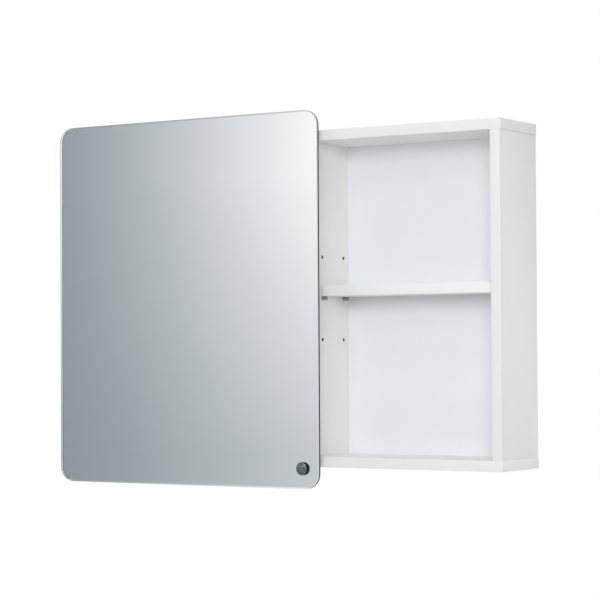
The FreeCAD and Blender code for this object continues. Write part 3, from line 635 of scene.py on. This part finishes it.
# rubber: moulded, dull black with a dusty grey bloom
black_rubber, spot = begin_material("moulded_rubber")
grit = add_node(black_rubber, "ShaderNodeTexNoise",
                {"Vector": spot, "Scale": 1000 / rubber_grit_mm, "Detail": 3.0})
tone = add_node(black_rubber, "ShaderNodeMixRGB",
                {"Fac": grit.outputs["Fac"], "Color1": linear(rubber_black), "Color2": linear(rubber_grey)})
relief = add_node(black_rubber, "ShaderNodeBump",
                  {"Height": grit.outputs["Fac"], "Strength": 0.2, "Distance": 0.1 * mm})
end_material(black_rubber, Base_Color=tone.outputs["Color"], Roughness=0.75, Normal=relief.outputs["Normal"])

for side in ("upper", "lower"):
    finish_node(f"{side}_track", drawn_aluminium)
    finish_node(f"{side}_track_screws", zinc_steel)
for side in ("left", "right"):
    node = f"{side}_track_stop"
    dress(eased_copy(node, stop_edge), f"{side}_rubber_stop", "carcass", [black_rubber],
          [node])

# Shelf pins
# Loose steel pins, nickel plated: a 5 mm shank in the hole, a collar and a round-tipped body that
# carries the shelf. One set of four in each bay.
pin_collar = 0.8 * mm
pin_collar_step = 0.35 * mm
pin_tip_round = 1.6 * mm
pin_shank_share = 5 / 6
pin_steps = 36
nickel_light = "#B8BBBE"
nickel_dark = "#7C7F83"
nickel_rub_mm = 2.5

# nickel plate: grey metal, dulled in patches by tumbling
nickel_steel, spot = begin_material("nickel_plated_steel")
rub = add_node(nickel_steel, "ShaderNodeTexNoise",
               {"Vector": spot, "Scale": 1000 / nickel_rub_mm, "Detail": 4.0})
tone = add_node(nickel_steel, "ShaderNodeMixRGB",
                {"Fac": rub.outputs["Fac"], "Color1": linear(nickel_dark), "Color2": linear(nickel_light)})
gloss = add_node(nickel_steel, "ShaderNodeMapRange",
                 {"Value": rub.outputs["Fac"], "To Min": 0.28, "To Max": 0.4})
end_material(nickel_steel, Base_Color=tone.outputs["Color"], Metallic=1.0, Roughness=gloss.outputs["Result"])

partition_low, partition_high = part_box("centre_partition")
left_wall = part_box("left_side_panel")[1].x
right_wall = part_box("right_side_panel")[0].x
pin_walls = {
    "left": ((left_wall, towards_right), (partition_low.x, towards_left)),
    "right": ((partition_high.x, towards_right), (right_wall, towards_left)),
}
for bay, walls in pin_walls.items():
    node = f"{bay}_shelf_pins"
    pin_boxes = solids_of(node)
    pin_places = []
    for low, high in pin_boxes:
        middle = (low + high) / 2
        wall, turn = min(walls, key=lambda pair: abs(pair[0] - middle.x))
        pin_places.append(((wall, middle.y, middle.z), turn))
    low, high = pin_boxes[-1]
    pin_radius = (high.z - low.z) / 2
    pin_reach = high.x - wall if turn == towards_right else wall - low.x
    pin_shank = high.x - low.x - pin_reach
    body_radius = pin_radius - pin_collar_step
    shank_radius = pin_radius * pin_shank_share
    pin_master = turned(
        [(0, -pin_shank), (shank_radius, -pin_shank), (shank_radius, 0), (pin_radius, 0),
         (pin_radius, pin_collar), (body_radius, pin_collar)]
        + arc((body_radius - pin_tip_round, pin_reach - pin_tip_round), pin_tip_round, 0, 90)
        + [(0, pin_reach)], pin_steps)
    dress(set_out(pin_master, pin_places), f"{bay}_pins", "carcass", [nickel_steel], [node])

# Shelves
# One loose shelf of the same faced board in each bay, lying on its four pins. A faced strip covers the
# sawn edge at its front.
shelf_band_low, shelf_band_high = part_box("shelf_edge_bands")
shelf_bands = []
for bay in ("left", "right"):
    node = f"{bay}_shelf"
    shelf = eased_copy(node, board_arris, plain=[front_plane])
    dress(shelf, f"{node}_board", "carcass", board_finish, [node], board_zone(node))
    shelf_bands.append(edge_band(node, shelf_band_low.y, shelf_band_high.y))
dress(join(shelf_bands), "shelf_edging", "carcass", [white_melamine], ["shelf_edge_bands"])

# Mirror glass
# A 4 mm pane of float glass with round corners, its edges ground and polished, silvered on the back and
# sealed with grey paint. The coat stops short of the left end, and the pane is drilled for the knob.
corner_radius = 24 * mm
corner_steps = 20
bevel_width = 2.0 * mm
bevel_depth = 0.25 * mm
rear_arris = 0.15 * mm
silvering = 0.1 * mm
silver_margin = 0.2 * mm
bare_strip = 1.6 * mm
bevel_lean = 0.06
end_lean = 0.35
knob_hole_radius = 3 * mm
drill_depth = 20 * mm
hole_steps = 32
glass_clear = "#FEFEFE"
glass_faint = "#FBFCFC"
glass_film_mm = 120
edge_shade_grey = "#1B1D1F"
edge_shade_deep = "#111314"
edge_grind_mm = 1.5
lit_bevel_white = "#F4F7F7"
lit_bevel_grey = "#DDE3E3"
shaded_bevel_white = "#BFC6C6"
shaded_bevel_grey = "#AFB6B6"
silver_bright = "#F5F6F6"
silver_soft = "#F1F2F2"
silver_bath_mm = 200
seal_light = "#C3C9CC"
seal_dark = "#B5BCBF"
seal_roller_mm = 2.5

glass_low, glass_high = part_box("mirror_glass")
knob_low, knob_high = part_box("knob")
knob_middle = (knob_low + knob_high) / 2


def sheet_blank(low, high, radius):
    """Flat sheet with round corners."""
    sheet = block(low, high)
    half_thick = 0.5 * (high[1] - low[1])
    round_edges(sheet, radius, lambda start, end: abs(start.y - end.y) > half_thick, corner_steps)
    return sheet


def drill_for_knob(sheet):
    """Drill a sheet for the knob's screw."""
    bpy.ops.object.select_all(action="DESELECT")
    bpy.ops.mesh.primitive_cylinder_add(vertices=hole_steps, radius=knob_hole_radius, depth=drill_depth,
                                        location=(knob_middle.x, glass_low.y, knob_middle.z),
                                        rotation=(math.radians(90), 0, 0))
    return carve(sheet, bpy.context.active_object)


# float glass: colourless through its face, with only a trace of green
clear_glass, spot = begin_material("clear_float_glass")
film = add_node(clear_glass, "ShaderNodeTexNoise",
                {"Vector": spot, "Scale": 1000 / glass_film_mm, "Detail": 2.0})
tone = add_node(clear_glass, "ShaderNodeMixRGB",
                {"Fac": film.outputs["Fac"], "Color1": linear(glass_faint), "Color2": linear(glass_clear)})
end_material(clear_glass, Base_Color=tone.outputs["Color"], Roughness=0.0, IOR=1.52, Transmission_Weight=1.0)

# polished edge: painted dark grey, as painted shade for the light that enters here, runs the length of the
# pane and is lost
glass_edge_shade, spot = begin_material("painted_shade_glass_edge")
grind = add_node(glass_edge_shade, "ShaderNodeTexNoise",
                 {"Vector": spot, "Scale": 1000 / edge_grind_mm, "Detail": 2.0})
tone = add_node(glass_edge_shade, "ShaderNodeMixRGB",
                {"Fac": grind.outputs["Fac"], "Color1": linear(edge_shade_deep), "Color2": linear(edge_shade_grey)})
end_material(glass_edge_shade, Base_Color=tone.outputs["Color"], Roughness=0.12, IOR=1.52, Specular_IOR_Level=0.3)

# ground bevel: fine wheel marks scatter some of the light over the reflection, as a paler line, painted
# paler still as painted light on the right bevel and the left end, and greyer as painted shade on the left
# bevel
lit_and_shaded_bevels = []
for name, dark, pale in (("lit_glass_bevel", lit_bevel_grey, lit_bevel_white),
                         ("shaded_glass_bevel", shaded_bevel_grey, shaded_bevel_white)):
    arris, spot = begin_material(name)
    grind = add_node(arris, "ShaderNodeTexNoise",
                     {"Vector": spot, "Scale": 1000 / edge_grind_mm, "Detail": 3.0})
    tone = add_node(arris, "ShaderNodeMixRGB",
                    {"Fac": grind.outputs["Fac"], "Color1": linear(dark), "Color2": linear(pale)})
    lit_and_shaded_bevels.append(end_material(arris, Base_Color=tone.outputs["Color"], Roughness=0.1, IOR=1.52,
                                       Transmission_Weight=0.3))

# silver: a mirror coat laid down from a bath, with hardly any unevenness
silver_coat, spot = begin_material("silver_coat")
bath = add_node(silver_coat, "ShaderNodeTexNoise",
                {"Vector": spot, "Scale": 1000 / silver_bath_mm, "Detail": 1.0})
tone = add_node(silver_coat, "ShaderNodeMixRGB",
                {"Fac": bath.outputs["Fac"], "Color1": linear(silver_soft), "Color2": linear(silver_bright)})
end_material(silver_coat, Base_Color=tone.outputs["Color"], Metallic=1.0, Roughness=0.005)

# sealing paint: pale grey curtain-coated lacquer with a slight orange peel
sealing_paint, spot = begin_material("mirror_sealing_paint")
peel = add_node(sealing_paint, "ShaderNodeTexNoise",
                {"Vector": spot, "Scale": 1000 / seal_roller_mm, "Detail": 2.0})
tone = add_node(sealing_paint, "ShaderNodeMixRGB",
                {"Fac": peel.outputs["Fac"], "Color1": linear(seal_dark), "Color2": linear(seal_light)})
relief = add_node(sealing_paint, "ShaderNodeBump",
                  {"Height": peel.outputs["Fac"], "Strength": 0.15, "Distance": 0.1 * mm})
end_material(sealing_paint, Base_Color=tone.outputs["Color"], Roughness=0.45, IOR=1.5,
             Normal=relief.outputs["Normal"])

glass_back = glass_high.y - silvering
pane = sheet_blank((glass_low.x, glass_low.y + bevel_depth, glass_low.z),
                   (glass_high.x, glass_back, glass_high.z), corner_radius)
choose(pane, "FACE", lambda face: face.normal.y < -0.9)
bpy.ops.mesh.inset(thickness=bevel_width)
bpy.ops.transform.translate(value=(0, -bevel_depth, 0))
bpy.ops.object.mode_set(mode="OBJECT")
round_edges(pane, rear_arris, lambda start, end: min(start.y, end.y) > glass_back - touch, 1)
drill_for_knob(pane)


def pane_zone(face):
    """Clear face, edge in painted shade, painted light on the right bevel and left end, or painted shade on
    the left bevel.
    """
    if face.normal.y < -0.5 and abs(face.normal.x) > bevel_lean:
        # the right bevel takes the finish painted light, the left bevel the one painted shade
        return 2 if face.normal.x > 0 else 3
    if face.normal.x < -end_lean:
        return 2
    return 0 if abs(face.normal.y) > 0.5 else 1


dress(pane, "mirror_pane", "mirror", [clear_glass, glass_edge_shade, *lit_and_shaded_bevels],
      ["mirror_glass"], pane_zone, smooth=6)

coat_low = (glass_low.x + bare_strip, glass_back + silvering / 5, glass_low.z + silver_margin)
coat_high = (glass_high.x - silver_margin, glass_high.y, glass_high.z - silver_margin)
coat = drill_for_knob(sheet_blank(coat_low, coat_high, corner_radius - silver_margin))
dress(coat, "mirror_silvering", "mirror", [silver_coat, sealing_paint],
      zone=lambda face: 0 if face.normal.y < -0.9 else 1)

# Knob
# A low turned button at the mirror's lower corner: a dark metal dome set in a black rim close to the
# glass, drawn up by a screw from behind, with a soft washer on each side of the pane.
knob_rim = 0.8 * mm
knob_rim_rise = 0.2 * mm
knob_rim_width = 0.8 * mm
dome_steps = 16
knob_steps = 64
bolt_head = 2.4 * mm
spun_light = "#C2C2C9"
spun_dark = "#4C4C53"
spun_line_mm = 0.5
spun_smear_mm = 2.5
ring_black = "#121214"
ring_grey = "#1B1B1E"
ring_grain_mm = 0.6

# dark chrome: spun on the lathe, so fine rings run round its middle
dark_chrome, spot = begin_material("spun_dark_chrome")
centred = add_node(dark_chrome, "ShaderNodeMapping", {"Vector": spot, "Location": -knob_middle})
flat = add_node(dark_chrome, "ShaderNodeVectorMath",
                {0: centred.outputs["Vector"], 1: (1.0, 0.0, 1.0)}, operation="MULTIPLY")
reach = add_node(dark_chrome, "ShaderNodeVectorMath", {0: flat.outputs["Vector"]}, operation="LENGTH")
rings = add_node(dark_chrome, "ShaderNodeTexNoise",
                 {"W": reach.outputs["Value"], "Scale": 1000 / spun_line_mm, "Detail": 2.0},
                 noise_dimensions="1D")
smear = add_node(dark_chrome, "ShaderNodeTexNoise",
                 {"Vector": spot, "Scale": 1000 / spun_smear_mm, "Detail": 2.0})
mottle = add_node(dark_chrome, "ShaderNodeMapRange",
                  {"Value": smear.outputs["Fac"], "From Min": 0.3, "From Max": 0.7})
mixed = add_node(dark_chrome, "ShaderNodeMath",
                 {0: rings.outputs["Fac"], 1: mottle.outputs["Result"]}, operation="MULTIPLY")
tone = add_node(dark_chrome, "ShaderNodeMixRGB",
                {"Fac": mixed.outputs["Value"], "Color1": linear(spun_dark), "Color2": linear(spun_light)})
relief = add_node(dark_chrome, "ShaderNodeBump",
                  {"Height": rings.outputs["Fac"], "Strength": 0.25, "Distance": 0.05 * mm})
end_material(dark_chrome, Base_Color=tone.outputs["Color"], Metallic=1.0, Roughness=0.4,
             Normal=relief.outputs["Normal"])

# black ring: satin black enamel fired on the rim
black_enamel, spot = begin_material("satin_black_enamel")
grain = add_node(black_enamel, "ShaderNodeTexNoise",
                 {"Vector": spot, "Scale": 1000 / ring_grain_mm, "Detail": 2.0})
tone = add_node(black_enamel, "ShaderNodeMixRGB",
                {"Fac": grain.outputs["Fac"], "Color1": linear(ring_black), "Color2": linear(ring_grey)})
gloss = add_node(black_enamel, "ShaderNodeMapRange",
                 {"Value": grain.outputs["Fac"], "To Min": 0.34, "To Max": 0.46})
end_material(black_enamel, Base_Color=tone.outputs["Color"], Roughness=gloss.outputs["Result"],
             Specular_IOR_Level=0.25)

knob_radius = (knob_high.x - knob_low.x) / 2
knob_height = knob_high.y - knob_low.y
face_radius = knob_radius - knob_rim_width
dome_foot = knob_rim + knob_rim_rise
dome_rise = knob_height - dome_foot
dome_radius = (face_radius ** 2 + dome_rise ** 2) / (2 * dome_rise)
dome_half_angle = math.degrees(math.asin(face_radius / dome_radius))
knob = turned(
    [(0, 0), (knob_radius, 0), (knob_radius, knob_rim), (face_radius, dome_foot)]
    + arc((0, knob_height - dome_radius), dome_radius, 90 - dome_half_angle, 90, dome_steps)[1:],
    knob_steps)
stand(knob, (knob_middle.x, knob_high.y, knob_middle.z), towards_room)


def knob_zone(face):
    """Spun dome, and the black rim and underside."""
    reach = Vector((face.center.x - knob_middle.x, face.center.z - knob_middle.z)).length
    return 0 if reach < face_radius and face.normal.y < -0.2 else 1


dress(knob, "knob_dome", "mirror", [dark_chrome, black_enamel], ["knob"], knob_zone)

knob_screw_low, knob_screw_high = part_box("knob_screw")
bolt_radius = (knob_screw_high.x - knob_screw_low.x) / 2
bolt_length = knob_screw_high.y - knob_screw_low.y - bolt_head
bolt = turned(
    [(0, bolt_head)]
    + arc((bolt_radius - pan_round, bolt_head - pan_round), pan_round, 90, 0)
    + [(bolt_radius, 0), (bolt_radius / 2, 0), (bolt_radius / 2, -bolt_length), (0, -bolt_length)],
    screw_steps)
cross_recess(bolt, bolt_head)
stand(bolt, (knob_middle.x, knob_screw_high.y - bolt_head, knob_middle.z), towards_wall)
dress(bolt, "knob_bolt", "mirror", [zinc_steel], ["knob_screw"])

# Hangers and wheels
# Two straps bent from 2 mm zinc plated steel, stuck behind the glass's upper edge with foam tape. Each
# reaches over the top to a moulded nylon wheel on a riveted axle.
strap_edge = 0.35 * mm
foam_dark = "#232325"
foam_grey = "#38383B"
foam_pore_mm = 0.7
nylon_light = "#E6E4DC"
nylon_shade = "#D9D6CC"
nylon_flow_mm = 4
wheel_rim_round = 0.9 * mm
wheel_rim_width = 2.2 * mm
wheel_hub_radius = 4.4 * mm
wheel_web_sink = 1.3 * mm
wheel_steps = 64
wheel_hole_count = 6
wheel_hole_radius = 1.2 * mm
wheel_hole_steps = 24
wheel_bore_radius = 2.1 * mm

# foam tape: dark closed-cell foam with small pores on its cut edges
foam_tape, spot = begin_material("closed_cell_foam")
pores = add_node(foam_tape, "ShaderNodeTexVoronoi", {"Vector": spot, "Scale": 1000 / foam_pore_mm})
tone = add_node(foam_tape, "ShaderNodeMixRGB",
                {"Fac": pores.outputs["Distance"], "Color1": linear(foam_dark), "Color2": linear(foam_grey)})
relief = add_node(foam_tape, "ShaderNodeBump",
                  {"Height": pores.outputs["Distance"], "Strength": 0.5, "Distance": 0.2 * mm})
end_material(foam_tape, Base_Color=tone.outputs["Color"], Roughness=0.9, Normal=relief.outputs["Normal"])

# nylon: creamy, a little translucent, with flow clouds from the mould
white_nylon, spot = begin_material("moulded_nylon")
flow = add_node(white_nylon, "ShaderNodeTexNoise",
                {"Vector": spot, "Scale": 1000 / nylon_flow_mm, "Detail": 3.0})
tone = add_node(white_nylon, "ShaderNodeMixRGB",
                {"Fac": flow.outputs["Fac"], "Color1": linear(nylon_shade), "Color2": linear(nylon_light)})
gloss = add_node(white_nylon, "ShaderNodeMapRange",
                 {"Value": flow.outputs["Fac"], "To Min": 0.32, "To Max": 0.45})
end_material(white_nylon, Base_Color=tone.outputs["Color"], Roughness=gloss.outputs["Result"], IOR=1.53)

finish_node("knob_washers", white_nylon)
for side in ("left", "right"):
    node = f"{side}_hanger"
    dress(eased_copy(node, strap_edge), f"{side}_hanger_strap", "mirror", [zinc_steel], [node])
    finish_node(f"{side}_hanger_pad", foam_tape)
    axle = f"{side}_wheel_axle"
    dress(copy_of(axle), f"{side}_axle_rivet", "mirror", [zinc_steel], [axle])

    node = f"{side}_wheel"
    wheel_low, wheel_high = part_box(node)
    wheel_middle = (wheel_low + wheel_high) / 2
    wheel_radius = (wheel_high.x - wheel_low.x) / 2
    wheel_half = (wheel_high.y - wheel_low.y) / 2
    rim_inside = wheel_radius - wheel_rim_width
    web_half = wheel_half - wheel_web_sink
    outer_half = wheel_half - wheel_rim_round
    wheel = turned(
        [(wheel_bore_radius, -wheel_half), (wheel_hub_radius, -wheel_half), (wheel_hub_radius, -web_half),
         (rim_inside, -web_half), (rim_inside, -wheel_half)]
        + arc((wheel_radius - wheel_rim_round, -outer_half), wheel_rim_round, -90, 0)
        + arc((wheel_radius - wheel_rim_round, outer_half), wheel_rim_round, 0, 90)
        + [(rim_inside, wheel_half), (rim_inside, web_half), (wheel_hub_radius, web_half),
           (wheel_hub_radius, wheel_half), (wheel_bore_radius, wheel_half), (wheel_bore_radius, -wheel_half)],
        wheel_steps)
    ring_radius = (wheel_hub_radius + rim_inside) / 2
    for index in range(wheel_hole_count):
        angle = 2 * math.pi * index / wheel_hole_count
        bpy.ops.object.select_all(action="DESELECT")
        bpy.ops.mesh.primitive_cylinder_add(
            vertices=wheel_hole_steps, radius=wheel_hole_radius, depth=4 * wheel_half,
            location=(ring_radius * math.cos(angle), ring_radius * math.sin(angle), 0))
        carve(wheel, bpy.context.active_object)
    stand(wheel, wheel_middle, towards_wall)
    dress(wheel, f"{side}_nylon_wheel", f"{side}_wheel", [white_nylon], [node])

# Guides
# Two bent plates stuck behind the glass's lower edge. Each carries a nylon shoe whose tongue runs in
# the lower channel and keeps the mirror from swinging out.
shoe_edge = 0.4 * mm
for side in ("left", "right"):
    node = f"{side}_guide"
    dress(eased_copy(node, strap_edge), f"{side}_guide_plate", "mirror", [zinc_steel], [node])
    finish_node(f"{side}_guide_pad", foam_tape)
    node = f"{side}_guide_shoe"
    dress(eased_copy(node, shoe_edge), f"{side}_nylon_shoe", "mirror", [white_nylon], [node])

# Floor
# A round, pale painted studio floor, well below the hung cabinet and wide enough to catch its shade.
# The paint is matt, with faint clouds from the roller.
floor_drop = 0.75
floor_radius = 2.4
floor_steps = 96
floor_pale = "#F2F2F0"
floor_shade = "#ECECEA"
floor_cloud_mm = 400
bpy.ops.object.select_all(action="DESELECT")
bpy.ops.mesh.primitive_circle_add(vertices=floor_steps, radius=floor_radius, fill_type="NGON",
                                  location=(0, 0, cad_low.z - floor_drop))
floor = bpy.context.active_object
floor.name = "studio_floor"
floor_paint, spot = begin_material("floor_paint")
cloud = add_node(floor_paint, "ShaderNodeTexNoise",
                 {"Vector": spot, "Scale": 1000 / floor_cloud_mm, "Detail": 2.0})
tone = add_node(floor_paint, "ShaderNodeMixRGB",
                {"Fac": cloud.outputs["Fac"], "Color1": linear(floor_shade), "Color2": linear(floor_pale)})
end_material(floor_paint, Base_Color=tone.outputs["Color"], Roughness=0.8)
floor.data.materials.append(floor_paint)

# Surroundings
# A white paper sweep all round the cabinet. Reflections see a row of light and dark flats instead,
# which gives the mirror its soft gradient.
sweep_above = 0.49
sweep_below = 0.30
flat_spacing = math.radians(29.8)
flat_turn = math.radians(-33.95)
flat_dark = (0.27, 0.325, 0.346, 1.0)
flat_light = (1.425, 1.39, 1.437, 1.0)
flat_low_rise = -0.0467
flat_high_rise = 0.0836
flat_low_share = 0.475
paper_white = (1.0, 1.0, 1.0, 1.0)
studio = bpy.data.worlds.new("studio")
bpy.context.scene.world = studio
studio.use_nodes = True
studio.node_tree.nodes.clear()
heading = add_node(studio, "ShaderNodeTexCoord").outputs["Generated"]
parts = add_node(studio, "ShaderNodeSeparateXYZ", {"Vector": heading})
forward = add_node(studio, "ShaderNodeMath", {0: parts.outputs["Y"], 1: -1.0}, operation="MULTIPLY")
bearing = add_node(studio, "ShaderNodeMath",
                   {0: parts.outputs["X"], 1: forward.outputs["Value"]}, operation="ARCTAN2")
offset = add_node(studio, "ShaderNodeMath", {0: bearing.outputs["Value"], 1: flat_turn}, operation="SUBTRACT")
phase = add_node(studio, "ShaderNodeMath",
                 {0: offset.outputs["Value"], 1: 2 * math.pi / flat_spacing}, operation="MULTIPLY")
wave = add_node(studio, "ShaderNodeMath", {0: phase.outputs["Value"]}, operation="SINE")
share = add_node(studio, "ShaderNodeMapRange", {"Value": wave.outputs["Value"], "From Min": -1.0})
rise = add_node(studio, "ShaderNodeMapRange",
                {"Value": parts.outputs["Z"], "From Min": flat_low_rise, "From Max": flat_high_rise,
                 "To Min": flat_low_share, "To Max": 1.0})
lit = add_node(studio, "ShaderNodeMath",
               {0: share.outputs["Result"], 1: rise.outputs["Result"]}, operation="MULTIPLY")
flats = add_node(studio, "ShaderNodeMixRGB",
                 {"Fac": lit.outputs["Value"], "Color1": flat_dark, "Color2": flat_light})
sweep = add_node(studio, "ShaderNodeMapRange",
                 {"Value": parts.outputs["Z"], "From Min": -1.0, "To Min": sweep_below,
                  "To Max": sweep_above})
path = add_node(studio, "ShaderNodeLightPath")
mirrored = add_node(studio, "ShaderNodeMath",
                    {0: path.outputs["Is Glossy Ray"], 1: path.outputs["Is Transmission Ray"]},
                    operation="MAXIMUM")
seen = add_node(studio, "ShaderNodeMixRGB",
                {"Fac": mirrored.outputs["Value"], "Color1": sweep.outputs["Result"],
                 "Color2": flats.outputs["Color"]})
paper = add_node(studio, "ShaderNodeMixRGB",
                 {"Fac": path.outputs["Is Camera Ray"], "Color1": seen.outputs["Color"],
                  "Color2": paper_white})
glow = add_node(studio, "ShaderNodeBackground", {"Color": paper.outputs["Color"], "Strength": 1.0})
add_node(studio, "ShaderNodeOutputWorld", {"Surface": glow.outputs["Background"]})

# Lights
# Large soft boxes: one in front at the right, little above the cabinet, two higher in front, which alone
# leave a highlight, and one overhead. A weak narrow strip lights the right side from behind.
key_place = Vector((1.38, -2.39, 0.48))
high_place = Vector((0.90, -1.56, 2.14))
front_place = Vector((0.50, -2.30, 1.40))
overhead_place = Vector((0.00, 0.35, 2.20))
strip_place = Vector((0.70, 0.30, -0.10))
large_box = (1.0, 0.7)
narrow_box = (0.2, 0.6)
cabinet_middle = (cad_low + cad_high) / 2


def soft_box(name, place, size, power, shines):
    """Broad soft light aimed at the cabinet, with or without a highlight on glossy pieces."""
    bpy.ops.object.select_all(action="DESELECT")
    bpy.ops.object.light_add(type="AREA", location=place)
    light = bpy.context.active_object
    light.name = name
    light.data.shape = "RECTANGLE"
    light.data.size, light.data.size_y = size
    light.data.energy = power
    light.rotation_euler = (cabinet_middle - place).to_track_quat("-Z", "Y").to_euler()
    light.visible_camera = False
    light.visible_glossy = shines
    light.visible_transmission = shines


soft_box("soft_key", cabinet_middle + key_place, large_box, power=30.2, shines=False)
soft_box("high_fill", cabinet_middle + high_place, large_box, power=4.9, shines=True)
soft_box("front_fill", cabinet_middle + front_place, large_box, power=5.2, shines=True)
soft_box("overhead", cabinet_middle + overhead_place, large_box, power=12, shines=False)
soft_box("rear_strip", cabinet_middle + strip_place, narrow_box, power=0.55, shines=False)
bpy.context.scene.view_settings.view_transform = "Standard"

# Camera
# Stands to the right of the cabinet and a little below its middle, with a long lens, as in the photograph.
image_side = 600
focal_pixels = 2133.75
camera_place = Vector((1.76702, -2.82678, -0.29054))
camera_yaw = math.radians(32.529)
camera_pitch = math.radians(1.4646)
camera_roll = math.radians(-0.3048)
bpy.ops.object.camera_add(location=camera_place)
camera = bpy.context.active_object
camera.data.sensor_width = 36
camera.data.lens = camera.data.sensor_width * focal_pixels / image_side
ahead = Vector((-math.sin(camera_yaw) * math.cos(camera_pitch), math.cos(camera_yaw) * math.cos(camera_pitch),
                math.sin(camera_pitch)))
level = Vector((math.cos(camera_yaw), math.sin(camera_yaw), 0))
raised = level.cross(ahead)
sideways = math.cos(camera_roll) * level + math.sin(camera_roll) * raised
upwards = -math.sin(camera_roll) * level + math.cos(camera_roll) * raised
camera.rotation_euler = Matrix((sideways, upwards, -ahead)).transposed().to_euler()
bpy.context.scene.camera = camera
